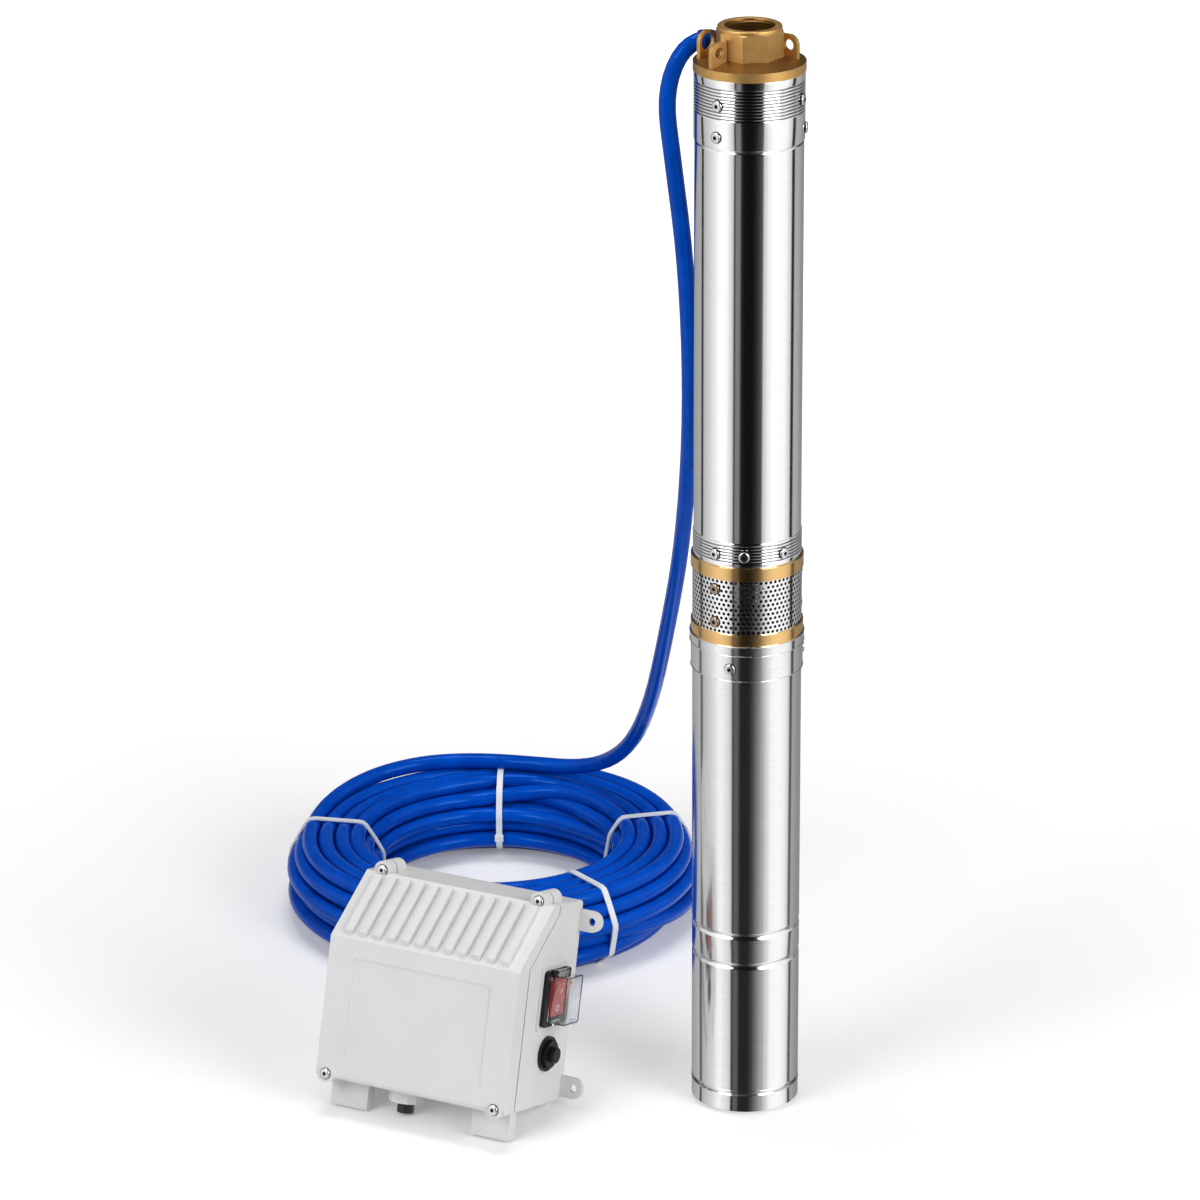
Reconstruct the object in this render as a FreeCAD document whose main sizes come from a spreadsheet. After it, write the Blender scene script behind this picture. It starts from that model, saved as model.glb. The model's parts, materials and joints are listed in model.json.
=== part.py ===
import FreeCAD, Part
import math
import os

import Sketcher
from FreeCAD import Placement, Rotation, Vector

# Driving dimensions in millimetres and degrees. The pump stands on its foot at the origin.
SIZES = {
    # motor
    "tube_wall": 1.5,
    "motor_radius": 37.5,
    "foot_height": 14.5,
    "foot_seam": 3.5,
    "foot_seam_depth": 1.3,
    "foot_chamfer": 2.5,
    "foot_plug": 38.0,
    "motor_length": 308.0,
    "roll_height": 113.5,
    "roll_spacing": 22.5,
    "roll_width": 5.0,
    "roll_depth": 1.0,
    "collar_radius": 38.5,
    "collar_skirt": 18.5,
    "collar_lip_radius": 39.25,
    "collar_lip": 7.5,
    "collar_overlap": 14.0,
    "collar_hub_radius": 22.0,
    "motor_shaft_radius": 8.0,
    "bearing_radius": 16.0,
    "bearing_width": 12.0,
    "bracket_bearing_width": 17.0,
    "seal_radius": 14.0,
    "seal_width": 6.0,
    "stator_bottom": 150.0,
    "stator_length": 140.0,
    "stator_bore_radius": 17.0,
    "air_gap": 0.6,
    "winding_height": 12.0,
    "winding_radius": 33.0,
    "winding_bore_radius": 21.0,
    "bracket_boss": 12.0,
    "bracket_rim": 3.0,
    "bracket_web": 5.0,
    "thrust_ring_height": 6.0,
    "thrust_disc_height": 8.0,
    "thrust_radius": 24.0,
    "thrust_step": 1.0,
    # intake and strainer
    "ring_radius": 38.6,
    "lower_ring": 8.0,
    "upper_ring": 9.0,
    "strainer_radius": 37.5,
    "strainer_sheet": 1.0,
    "strainer_height": 39.0,
    "strainer_hole": 2.6,
    "strainer_row": 9.5,
    "bracket_bore_radius": 30.0,
    "bracket_window": 24.0,
    "bracket_roof": 3.0,
    "window_margin": 2.0,
    "strainer_screw_inset": 7.5,
    "bracket_spigot": 16.0,
    "intake_eye_radius": 17.75,
    "coupling_radius": 11.0,
    "coupling_length": 36.0,
    "shaft_joint": 28.0,
    # hydraulic end
    "pump_radius": 36.7,
    "band_radius": 37.25,
    "lower_band": 17.0,
    "upper_band": 47.0,
    "band_seam": 0.8,
    "stage_pitch": 43.0,
    "stage_turn": 24.0,
    "bowl_bore_radius": 29.0,
    "bowl_floor": 3.0,
    "diffuser_height": 21.0,
    "diffuser_plate": 2.0,
    "diffuser_radius": 24.0,
    "impeller_radius": 27.0,
    "impeller_height": 20.0,
    "impeller_shroud": 2.2,
    "impeller_hub_radius": 9.5,
    "impeller_eye_radius": 16.0,
    "eye_ring": 1.5,
    "impeller_inlet": 5.0,
    "blade": 1.8,
    "blade_root": 0.5,
    "blade_bend": 19.0,
    "back_curve_radius": 21.0,
    "back_curve": 14.3,
    "vane_bend": 24.0,
    "vane_root": 2.0,
    "hub_flare": 4.0,
    "hub_wall": 1.5,
    "sleeve_radius": 8.0,
    "pump_shaft_radius": 6.0,
    "running_gap": 0.3,
    "bush_gap": 0.03,
    "floor_gap": 0.5,
    "discharge_height": 33.0,
    "discharge_web": 3.0,
    "discharge_hub": 18.0,
    "discharge_hub_wall": 3.0,
    "discharge_throat": 6.0,
    "discharge_cone": 12.0,
    "top_bush_radius": 9.0,
    "top_bush_height": 10.0,
    "locknut_radius": 8.4,
    "locknut_height": 6.0,
    "head_screw_height": 14.9,
    "discharge_screw_drop": 6.6,
    "lead_width": 11.0,
    "lead_thickness": 4.6,
    "lead_radius": 32.3,
    "lead_clearance": 0.3,
    "lead_bend": 12.0,
    "lead_slot_margin": 4.0,
    "lead_drop": 9.0,
    # head
    "head_spigot": 32.3,
    "flange_radius": 37.75,
    "flange_height": 6.2,
    "flange_rise": 3.5,
    "octagon_flats": 42.4,
    "octagon_height": 21.5,
    "octagon_turn": 9.0,
    "rim_radius": 21.7,
    "rim_height": 2.5,
    "rim_round": 1.2,
    "thread_radius": 15.15,
    "thread_length": 18.0,
    "thread_relief": 3.0,
    "mouth_chamfer": 2.0,
    "octagon_inset": 1.0,
    "mouth_radius": 17.3,
    "valve_bore_radius": 17.0,
    "valve_seat_radius": 11.0,
    "valve_disc_radius": 14.5,
    "valve_disc_height": 4.0,
    "valve_stem_radius": 3.0,
    "valve_seat_height": 20.0,
    "valve_lift_gap": 0.05,
    "valve_chamfer": 1.0,
    "stem_drop": 0.5,
    "cage_height": 4.0,
    "cage_guide_wall": 2.0,
    "cage_ring": 2.5,
    "spring_radius": 8.5,
    "spring_wire": 0.8,
    "ear_thickness": 3.0,
    "ear_width": 14.0,
    "ear_centre_height": 10.0,
    "ear_hole_radius": 3.75,
    "guide_ear_width": 15.4,
    "guide_ear_centre_height": 11.5,
    "guide_ear_hole_radius": 6.0,
    "gland_radius": 7.2,
    "gland_height": 5.2,
    "boot_wall": 1.5,
    "boot_length": 8.5,
    "gland_x": -16.9,
    "gland_y": 23.7,
    # casing screws
    "screw_head_radius": 3.7,
    "screw_head_height": 1.9,
    "screw_crown_radius": 2.5,
    "screw_shank_radius": 2.0,
    "screw_shank_length": 6.0,
    "screw_socket": 1.25,
    "screw_socket_floor": 0.8,
    "screw_seat": 0.15,
    # cable and its coil
    "cable_radius": 5.9,
    "coil_x": -182.8,
    "coil_y": 332.0,
    "coil_bore_radius": 85.0,
    "coil_radius": 156.5,
    "coil_height": 62.0,
    "coil_round": 22.0,
    "tie_width": 5.0,
    "tie_thickness": 1.2,
    "tie_lock": 7.0,
    "tie_lock_rise": 2.5,
    "tie_lock_seat": 0.5,
    # control box, in its own frame: back face at y = 0, foot of the back face at z = 0
    "box_x": -196.5,
    "box_y": 14.0,
    "box_yaw": 27.0,
    "box_lean": 15.0,
    "box_width": 149.0,
    "box_wall": 3.0,
    "box_height": 143.0,
    "housing_depth": 72.0,
    "housing_top_depth": 35.0,
    "front_height": 101.0,
    "parting_step": 7.0,
    "cover_depth": 17.0,
    "cover_top_depth": 10.0,
    "gasket": 1.5,
    "gasket_inset": 1.0,
    "corner_round": 4.0,
    "rear_foot": 6.0,
    "rear_foot_width": 20.0,
    "rear_foot_depth": 12.0,
    "rear_foot_inset": 2.0,
    "front_foot_x": 56.0,
    "front_foot_width": 29.0,
    "front_foot_near": 60.0,
    "front_foot_depth": 10.0,
    "lug_reach": 10.0,
    "lug_width": 15.0,
    "lug_thickness": 4.0,
    "lug_hole_radius": 3.0,
    "lug_low": 9.5,
    "lug_high": 129.0,
    "boss_radius": 6.5,
    "boss_back": 13.0,
    "boss_rise": 0.8,
    "top_boss_drop": -1.5,
    "top_boss_x": 62.0,
    "low_boss_x": 66.5,
    "low_boss_z": 3.0,
    "fin_count": 12,
    "fin_spacing": 11.2,
    "fin_width": 5.4,
    "fin_height": 2.4,
    "fin_inset": 2.5,
    "fin_root": 1.0,
    "panel_width": 108.0,
    "panel_height": 71.0,
    "panel_bottom": 17.0,
    "panel_depth": 0.6,
    "switch_y": -34.0,
    "switch_z": 78.0,
    "surround_width": 42.0,
    "surround_height": 46.0,
    "surround_thickness": 1.5,
    "bezel_width": 36.0,
    "bezel_height": 40.0,
    "bezel_thickness": 3.0,
    "bezel_round": 3.0,
    "switch_body_width": 28.0,
    "switch_body_height": 32.0,
    "switch_body_depth": 24.0,
    "rocker_width": 20.0,
    "rocker_height": 27.0,
    "rocker_gap": 0.5,
    "rocker_tilt": 9.0,
    "rocker_depth": 9.0,
    "rocker_rise": 3.0,
    "rocker_heel": 4.0,
    "rocker_hollow": 70.0,
    "pocket_floor": 1.5,
    "flip_width": 25.0,
    "flip_height": 34.0,
    "flip_depth": 12.0,
    "flip_wall": 1.0,
    "flip_tab": 5.0,
    "flip_gap": 0.3,
    "flip_round": 2.0,
    "hinge_radius": 1.6,
    "hinge_gap": 0.3,
    "hinge_barrel": 16.0,
    "hinge_ear": 2.5,
    "hinge_pin_radius": 0.8,
    "hinge_tongue": 1.6,
    "reset_z": 37.0,
    "reset_y": -33.0,
    "reset_radius": 12.5,
    "reset_flange": 2.5,
    "reset_nut_radius": 9.75,
    "reset_thickness": 5.0,
    "reset_body_radius": 8.0,
    "reset_body_depth": 20.0,
    "button_radius": 5.5,
    "button_rise": 4.0,
    "button_travel": 2.5,
    "button_depth": 12.0,
    "mains_x": -17.0,
    "mains_y": -58.0,
    "mains_hole_radius": 9.0,
    "mains_flange_radius": 13.5,
    "mains_flange": 3.5,
    "mains_nut_radius": 12.5,
    "mains_nut": 8.0,
    "mains_lock_radius": 13.0,
    "mains_lock": 4.0,
    "mains_cord_radius": 6.0,
    "mains_inside": 14.0,
    "capacitor_radius": 20.0,
    "capacitor_length": 78.0,
    "capacitor_x": -22.0,
    "terminal_width": 52.0,
    "terminal_height": 22.0,
    "terminal_depth": 16.0,
    "terminal_z": 90.0,
    "terminal_pitch": 10.0,
    "terminal_hole": 3.0,
}
STAGES = 6
BLADES = 5
VANES = 5
WINDOWS = 5
ARMS = 3
SPRING_TURNS = 3
SPRING_BENDS = 12
TERMINALS = 5
STRAINER_HOLES = 15
STRAINER_ROWS = 4

# Azimuths in degrees, counted from +X. The lead slot lies under the cable gland.
HEAD_SCREWS = (-126.0, -22.0, 98.0)
DISCHARGE_SCREWS = (-127.5, -7.5, 97.5)
INTAKE_SCREWS = (-127.5, -95.0, -50.0, 60.0)
STRAINER_SCREWS = (-127.0, 17.0)
COLLAR_SCREWS = (-109.0, 11.0, 131.0)
TIES = (172.0, 88.0, 12.0, -54.0)

# Ears on the flange: centre x and y, turn about the vertical
ROPE_EAR_LEFT = (-21.5, -20.0, 43.0)
ROPE_EAR_RIGHT = (26.5, 0.5, -36.0)
GUIDE_EAR = (-28.5, 5.0, 45.0)

# How far a cut runs past the face it opens, and a joined form into the piece it joins
MARGIN = 1.0

# Share of the cable's first bend that lies below the boot
BOOT_START = 0.62

# Centre line of the hanging cable, from the gland in the flange to the crest of the coil
CABLE_ROUTE = (
    (-16.9, 23.7, 738.3),
    (-16.9, 23.7, 764.5),
    (-42.5, 13.5, 764.0),
    (-57.0, 14.5, 728.0),
    (-53.0, 17.5, 680.0),
    (-44.5, 26.0, 600.0),
    (-38.0, 52.0, 490.0),
    (-41.5, 124.0, 372.0),
    (-52.0, 215.0, 268.0),
    (-64.0, 310.0, 168.0),
    (-82.0, 382.0, 104.5),
    (-112.0, 428.0, 73.2),
    (-160.0, 450.0, 69.1),
)


# A number together with the spreadsheet expression that gives it
class Size:
    def __init__(self, value, text):
        self.value = float(value)
        self.text = text

    def __add__(self, other):
        other = as_size(other)
        return Size(self.value + other.value, f"({self.text} + {other.text})")

    def __sub__(self, other):
        other = as_size(other)
        return Size(self.value - other.value, f"({self.text} - {other.text})")

    def __mul__(self, other):
        other = as_size(other)
        return Size(self.value * other.value, f"({self.text} * {other.text})")

    def __truediv__(self, other):
        other = as_size(other)
        return Size(self.value / other.value, f"({self.text} / {other.text})")

    def __radd__(self, other):
        return as_size(other) + self

    def __rsub__(self, other):
        return as_size(other) - self

    def __rmul__(self, other):
        return as_size(other) * self

    def __neg__(self):
        return Size(-self.value, f"(0 - {self.text})")


def as_size(thing):
    return thing if isinstance(thing, Size) else Size(thing, f"{float(thing):.9f}")


def cosine(angle):
    return Size(math.cos(math.radians(angle.value)), f"cos({angle.text} * 1 deg)")


def sine(angle):
    return Size(math.sin(math.radians(angle.value)), f"sin({angle.text} * 1 deg)")


def root(size):
    return Size(math.sqrt(size.value), f"sqrt({size.text})")


doc = FreeCAD.newDocument("BoreholePump")
sheet = doc.addObject("Spreadsheet::Sheet", "Sizes")
for row, (alias, value) in enumerate(SIZES.items(), 1):
    sheet.set(f"A{row}", alias)
    sheet.set(f"B{row}", str(value))
    sheet.setAlias(f"B{row}", alias)
doc.recompute()


class Sheet:
    def __getattr__(self, alias):
        return Size(SIZES[alias], f"Sizes.{alias}")


s = Sheet()
nodes = {}


# Heights of the main joints between the pieces, from the floor up
seam_z = s.foot_height
motor_z = seam_z + s.foot_seam
plug_z = motor_z + s.foot_plug
collar_z = motor_z + s.motor_length
tube_top_z = collar_z + s.collar_overlap
lip_z = collar_z + s.collar_skirt
intake_z = lip_z + s.collar_lip
strainer_z = intake_z + s.lower_ring
upper_ring_z = strainer_z + s.strainer_height
pump_z = upper_ring_z + s.upper_ring
stack_z = pump_z + s.bracket_spigot
discharge_z = stack_z + s.stage_pitch * STAGES
spigot_z = discharge_z + s.discharge_height
flange_z = spigot_z + s.head_spigot
octagon_z = flange_z + s.flange_height
rim_z = octagon_z + s.octagon_height
top_z = rim_z + s.rim_height
seat_z = spigot_z + s.valve_seat_height
shoulder_z = top_z - s.thread_length - s.thread_relief
lead_top = flange_z - s.lead_drop

motor_bore = s.motor_radius - s.tube_wall
pump_bore = s.pump_radius - s.tube_wall
shaft_joint_z = intake_z + s.shaft_joint
gland_azimuth = math.degrees(math.atan2(s.gland_y.value, s.gland_x.value))
lead_turn = gland_azimuth - 90
slot_inner = s.lead_radius - s.lead_thickness / 2 - s.lead_clearance
slot_width = s.lead_width + s.lead_clearance * 2


def new_body(label):
    body = doc.addObject("PartDesign::Body", label)
    body.Label = label
    nodes[label] = body
    return body


def origin_feature(body, role):
    return next(item for item in body.Origin.OriginFeatures if item.Role == role)


def arc_edge(start, end, radius):
    chord = end - start
    side = Vector(-chord.y, chord.x, 0).normalize()
    if radius < 0:
        side = side.negative()
    reach = math.sqrt(max(radius * radius - (chord.Length / 2) ** 2, 0.0))
    centre = start + chord * 0.5 + side * reach
    first, last = (start, end) if radius > 0 else (end, start)
    angles = [math.atan2(p.y - centre.y, p.x - centre.x) for p in (first, last)]
    if angles[1] < angles[0]:
        angles[1] += 2 * math.pi
    return Part.ArcOfCircle(Part.Circle(centre, Vector(0, 0, 1), abs(radius)), *angles)


def fix_point(drawing, edge, end, x, y):
    for kind, size, axis in (("DistanceX", x, -2), ("DistanceY", y, -1)):
        if abs(size.value) < 1e-9:
            drawing.addConstraint(Sketcher.Constraint("PointOnObject", edge, end, axis))
            continue
        index = drawing.addConstraint(Sketcher.Constraint(kind, -1, 1, edge, end, size.value))
        drawing.setExpression(f"Constraints[{index}]", size.text)


# Draws one closed outline: points (x, y) or (x, y, radius), where a radius bends the edge
# that leaves the point, to the left if positive and to the right if negative.
def draw_outline(drawing, points):
    corners = [(as_size(p[0]), as_size(p[1])) for p in points]
    places = [Vector(x.value, y.value, 0) for x, y in corners]
    ends = []
    for i, point in enumerate(points):
        start, end = places[i], places[(i + 1) % len(points)]
        if len(point) == 2:
            ends.append((drawing.addGeometry(Part.LineSegment(start, end), False), 1, 2))
            continue
        radius = as_size(point[2])
        edge = drawing.addGeometry(arc_edge(start, end, radius.value), False)
        ends.append((edge, 1, 2) if radius.value > 0 else (edge, 2, 1))
        size = radius if radius.value > 0 else -radius
        index = drawing.addConstraint(Sketcher.Constraint("Radius", edge, size.value))
        drawing.setExpression(f"Constraints[{index}]", size.text)
    for i, (edge, start, end) in enumerate(ends):
        following, next_start, _ = ends[(i + 1) % len(ends)]
        drawing.addConstraint(Sketcher.Constraint("Coincident", edge, end, following, next_start))
        fix_point(drawing, edge, start, *corners[i])


def draw_circle(drawing, x, y, radius):
    x, y, radius = as_size(x), as_size(y), as_size(radius)
    circle = Part.Circle(Vector(x.value, y.value, 0), Vector(0, 0, 1), radius.value)
    edge = drawing.addGeometry(circle, False)
    fix_point(drawing, edge, 3, x, y)
    index = drawing.addConstraint(Sketcher.Constraint("Radius", edge, radius.value))
    drawing.setExpression(f"Constraints[{index}]", radius.text)


# A sketch on one of the body's planes. A shape of three sizes is a circle, else an outline.
def new_sketch(body, plane, shapes, offset=0.0, shift=None, turn=0.0):
    drawing = body.newObject("Sketcher::SketchObject", "Sketch")
    drawing.AttachmentSupport = [(origin_feature(body, plane + "_Plane"), "")]
    drawing.MapMode = "FlatFace"
    drawing.AttachmentOffset = Placement(Vector(), Rotation(Vector(0, 1, 0), turn))
    offset = as_size(offset)
    places = [as_size(v) for v in shift] if shift else [as_size(0), as_size(0)]
    for axis, size in zip("xyz", (*places, offset)):
        drawing.setExpression(f"AttachmentOffset.Base.{axis}", size.text)
    for shape in shapes:
        if isinstance(shape[0], tuple):
            draw_outline(drawing, shape)
        else:
            draw_circle(drawing, *shape)
    return drawing


def revolve(body, *shapes, cut=False):
    drawing = new_sketch(body, "XZ", shapes)
    kind = "PartDesign::Groove" if cut else "PartDesign::Revolution"
    feature = body.newObject(kind, "Groove" if cut else "Revolution")
    feature.Profile = drawing
    feature.ReferenceAxis = (drawing, ["V_Axis"])
    feature.Angle = 360
    return feature


# Extrudes the shapes between two places on the axis across the plane, or cuts that space.
def extrude(body, plane, low, high, *shapes, cut=False):
    low, high = as_size(low), as_size(high)
    drawing = new_sketch(body, plane, shapes, -high if plane == "XZ" else low)
    feature = body.newObject("PartDesign::Pocket" if cut else "PartDesign::Pad", "Extrusion")
    feature.Profile = drawing
    feature.Reversed = cut
    feature.setExpression("Length", (high - low).text)
    return feature


# A vertical plate of a given thickness, turned about the vertical through its centre.
def upright_plate(body, centre, turn, height, thickness, *shapes, cut=False):
    x, y = (as_size(v) for v in centre)
    drawing = new_sketch(body, "XZ", shapes, -y, (x, height), turn)
    feature = body.newObject("PartDesign::Pocket" if cut else "PartDesign::Pad", "Plate")
    feature.Profile = drawing
    feature.SideType = "Symmetric"
    feature.setExpression("Length", as_size(thickness).text)
    return feature


def polar(body, feature, count):
    pattern = body.newObject("PartDesign::PolarPattern", "PolarPattern")
    pattern.Originals = [feature]
    pattern.Axis = (origin_feature(body, "Z_Axis"), [""])
    pattern.Angle = 360
    pattern.Occurrences = count
    body.Tip = pattern
    return pattern


def linear(body, feature, spacing, count):
    pattern = body.newObject("PartDesign::LinearPattern", "LinearPattern")
    pattern.Originals = [feature]
    pattern.Direction = (origin_feature(body, "X_Axis"), [""])
    pattern.setExpression("Length", (spacing * (count - 1)).text)
    pattern.Occurrences = count
    body.Tip = pattern
    return pattern


def place(body, height=0.0, turn=0.0):
    body.Placement = Placement(Vector(0, 0, as_size(height).value), Rotation(Vector(0, 0, 1), turn))
    body.setExpression("Placement.Base.z", as_size(height).text)


def rectangle(x, y, width, height):
    return (
        (x - width / 2, y - height / 2),
        (x + width / 2, y - height / 2),
        (x + width / 2, y + height / 2),
        (x - width / 2, y + height / 2),
    )


def rounded_rectangle(x, y, width, height, radius):
    west, east = x - width / 2, x + width / 2
    south, north = y - height / 2, y + height / 2
    return (
        (west + radius, south),
        (east - radius, south, radius),
        (east, south + radius),
        (east, north - radius, radius),
        (east - radius, north),
        (west + radius, north, radius),
        (west, north - radius),
        (west, south + radius, radius),
    )


def polygon(x, y, corner, sides, turn=0.0):
    angles = [math.radians(turn + 360 * i / sides) for i in range(sides)]
    return tuple((x + corner * math.cos(a), y + corner * math.sin(a)) for a in angles)


def ring(inner, outer, low, high):
    return (inner, low), (outer, low), (outer, high), (inner, high)


# Motor


def motor_foot():
    body = new_body("motor_foot")
    outer = s.motor_radius
    neck = outer - s.foot_seam_depth
    revolve(
        body,
        (
            (0, 0),
            (outer - s.foot_chamfer, 0),
            (outer, s.foot_chamfer),
            (outer, seam_z),
            (neck, seam_z),
            (neck, motor_z),
            (motor_bore, motor_z),
            (motor_bore, plug_z),
            (0, plug_z),
        ),
    )


def motor_tube():
    body = new_body("motor_tube")
    outer = s.motor_radius
    points = [(motor_bore, motor_z), (outer, motor_z)]
    half = s.roll_width / 2
    bend = (half * half + s.roll_depth * s.roll_depth) / (s.roll_depth * 2)
    for height in (s.roll_height, s.roll_height + s.roll_spacing):
        points += [(outer, height - half, -bend), (outer, height + half)]
    points += [(outer, tube_top_z), (motor_bore, tube_top_z)]
    revolve(body, tuple(points))


def motor_collar():
    body = new_body("motor_collar")
    bearing_top = collar_z + s.bearing_width
    seal_low = intake_z - s.seal_width
    shaft = s.motor_shaft_radius + s.running_gap
    revolve(
        body,
        (
            (s.motor_radius, collar_z),
            (s.collar_radius, collar_z),
            (s.collar_radius, lip_z),
            (s.collar_lip_radius, lip_z),
            (s.collar_lip_radius, intake_z),
            (s.seal_radius, intake_z),
            (s.seal_radius, seal_low),
            (shaft, seal_low),
            (shaft, bearing_top),
            (s.bearing_radius, bearing_top),
            (s.bearing_radius, collar_z),
            (s.collar_hub_radius, collar_z),
            (s.collar_hub_radius, tube_top_z),
            (s.motor_radius, tube_top_z),
        ),
    )


def motor_bearings():
    bore = s.motor_shaft_radius + s.bush_gap
    top = collar_z + s.bearing_width
    revolve(new_body("upper_bearing"), ring(bore, s.bearing_radius, collar_z, top))
    low = s.roll_height + s.roll_width / 2
    high = low + s.bracket_bearing_width
    rim = motor_bore - s.bracket_rim
    revolve(
        new_body("lower_bearing"),
        (
            (bore, low - s.bracket_boss),
            (s.bearing_radius, low - s.bracket_boss),
            (s.bearing_radius, low),
            (motor_bore, low),
            (motor_bore, high),
            (rim, high),
            (rim, low + s.bracket_web),
            (s.bearing_radius, low + s.bracket_web),
            (s.bearing_radius, high),
            (bore, high),
        ),
    )
    bore = s.pump_shaft_radius + s.bush_gap
    revolve(new_body("shaft_seal"), ring(bore, s.seal_radius, intake_z - s.seal_width, intake_z))
    low = plug_z
    high = low + s.thrust_ring_height
    revolve(new_body("thrust_ring"), ring(s.motor_shaft_radius, s.thrust_radius, low, high))
    low = high + s.bush_gap
    high = low + s.thrust_disc_height
    outer = s.thrust_radius - s.thrust_step
    revolve(new_body("thrust_disc"), ring(s.motor_shaft_radius, outer, low, high))


def motor_windings():
    top = s.stator_bottom + s.stator_length
    revolve(new_body("stator_core"), ring(s.stator_bore_radius, motor_bore, s.stator_bottom, top))
    windings = []
    for name, low in (("lower_coil", s.stator_bottom - s.winding_height), ("upper_coil", top)):
        outer = doc.addObject("Part::Cylinder", name)
        inner = doc.addObject("Part::Cylinder", name + "_bore")
        for cylinder, radius in ((outer, s.winding_radius), (inner, s.winding_bore_radius)):
            cylinder.setExpression("Radius", radius.text)
            cylinder.setExpression("Height", s.winding_height.text)
            cylinder.setExpression("Placement.Base.z", low.text)
        coil = doc.addObject("Part::Cut", name + "_turns")
        coil.Base, coil.Tool = outer, inner
        windings.append(coil)
    compound("stator_windings", windings)


def motor_rotor():
    low = plug_z + s.thrust_ring_height + s.bush_gap
    shoulder = intake_z - s.seal_width - s.bush_gap
    revolve(
        new_body("motor_shaft"),
        (
            (0, low),
            (s.motor_shaft_radius, low),
            (s.motor_shaft_radius, shoulder),
            (s.pump_shaft_radius, shoulder),
            (s.pump_shaft_radius, shaft_joint_z),
            (0, shaft_joint_z),
        ),
    )
    outer = s.stator_bore_radius - s.air_gap
    top = s.stator_bottom + s.stator_length
    revolve(new_body("rotor_core"), ring(s.motor_shaft_radius, outer, s.stator_bottom, top))


# Intake


def intake_bracket():
    body = new_body("intake_bracket")
    column = s.strainer_radius - s.strainer_sheet
    roof = upper_ring_z + s.bracket_roof
    revolve(
        body,
        (
            (s.bracket_bore_radius, intake_z),
            (s.ring_radius, intake_z),
            (s.ring_radius, strainer_z),
            (column, strainer_z),
            (column, upper_ring_z),
            (s.ring_radius, upper_ring_z),
            (s.ring_radius, pump_z),
            (pump_bore, pump_z),
            (pump_bore, stack_z),
            (s.intake_eye_radius, stack_z),
            (s.intake_eye_radius, roof),
            (s.bracket_bore_radius, roof),
        ),
    )
    middle = (strainer_z + upper_ring_z) / 2
    opening = rectangle(0, middle, s.bracket_window, s.strainer_height - s.window_margin * 2)
    window = extrude(body, "XZ", 0, s.ring_radius + MARGIN, opening, cut=True)
    polar(body, window, WINDOWS)
    lead_slot(body, intake_z - MARGIN, stack_z + MARGIN)
    place(body, 0, lead_turn)


# The slot that the flat motor lead runs in, cut on the +Y side of a body.
def lead_slot(body, low, high):
    depth = pump_bore + s.lead_clearance - slot_inner
    slot = rectangle(0, slot_inner + depth / 2, slot_width, depth)
    extrude(body, "XY", low, high, slot, cut=True)


def strainer():
    body = new_body("strainer")
    inner = s.strainer_radius - s.strainer_sheet
    revolve(body, ring(inner, s.strainer_radius, strainer_z, upper_ring_z))
    middle = (strainer_z + upper_ring_z) / 2
    for row in range(STRAINER_ROWS):
        height = middle + s.strainer_row * (row - (STRAINER_ROWS - 1) / 2)
        turn = math.radians(180.0 / STRAINER_HOLES) * (row % 2)
        reach = s.strainer_radius * math.sin(turn)
        holes = extrude(
            body,
            "XZ",
            0,
            s.strainer_radius + MARGIN,
            (reach, height, s.strainer_hole),
            cut=True,
        )
        polar(body, holes, STRAINER_HOLES)


def shaft_coupling():
    body = new_body("shaft_coupling")
    low = shaft_joint_z - s.coupling_length / 2
    high = low + s.coupling_length
    revolve(body, ring(s.pump_shaft_radius, s.coupling_radius, low, high))


# Stages


def curved_blade(thickness, inner, outer, bend):
    lean = thickness * math.sqrt(0.125)
    tip = outer * math.sqrt(0.5)
    half = thickness / 2
    return (
        (inner, -half, -bend),
        (tip - lean, -tip - lean),
        (tip + lean, -tip + lean, bend + thickness),
        (inner, half),
    )


def impeller(index):
    body = new_body(f"impeller_{index + 1}")
    height, inlet = s.impeller_height, s.impeller_inlet
    back = height - s.impeller_shroud
    bore, hub, outer = s.pump_shaft_radius, s.impeller_hub_radius, s.impeller_radius
    revolve(
        body,
        (
            (bore, 0),
            (hub, 0),
            (hub, inlet, -s.back_curve),
            (s.back_curve_radius, back),
            (outer, back),
            (outer, height),
            (s.sleeve_radius, height),
            (s.sleeve_radius, s.stage_pitch),
            (bore, s.stage_pitch),
        ),
    )
    outline = curved_blade(s.blade, hub - s.blade_root, outer - s.blade_root, s.blade_bend)
    blade = extrude(body, "XY", inlet - s.blade_root, back + s.blade_root, outline)
    polar(body, blade, BLADES)
    eye = s.impeller_eye_radius
    neck = eye + s.eye_ring
    shroud = s.bowl_floor + s.floor_gap
    revolve(
        body,
        (
            (eye, 0),
            (neck, 0),
            (neck, shroud),
            (outer, shroud),
            (outer, inlet + s.impeller_shroud),
            (eye, inlet),
        ),
    )
    place(body, stack_z + s.stage_pitch * index, s.stage_turn.value * index)


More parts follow.
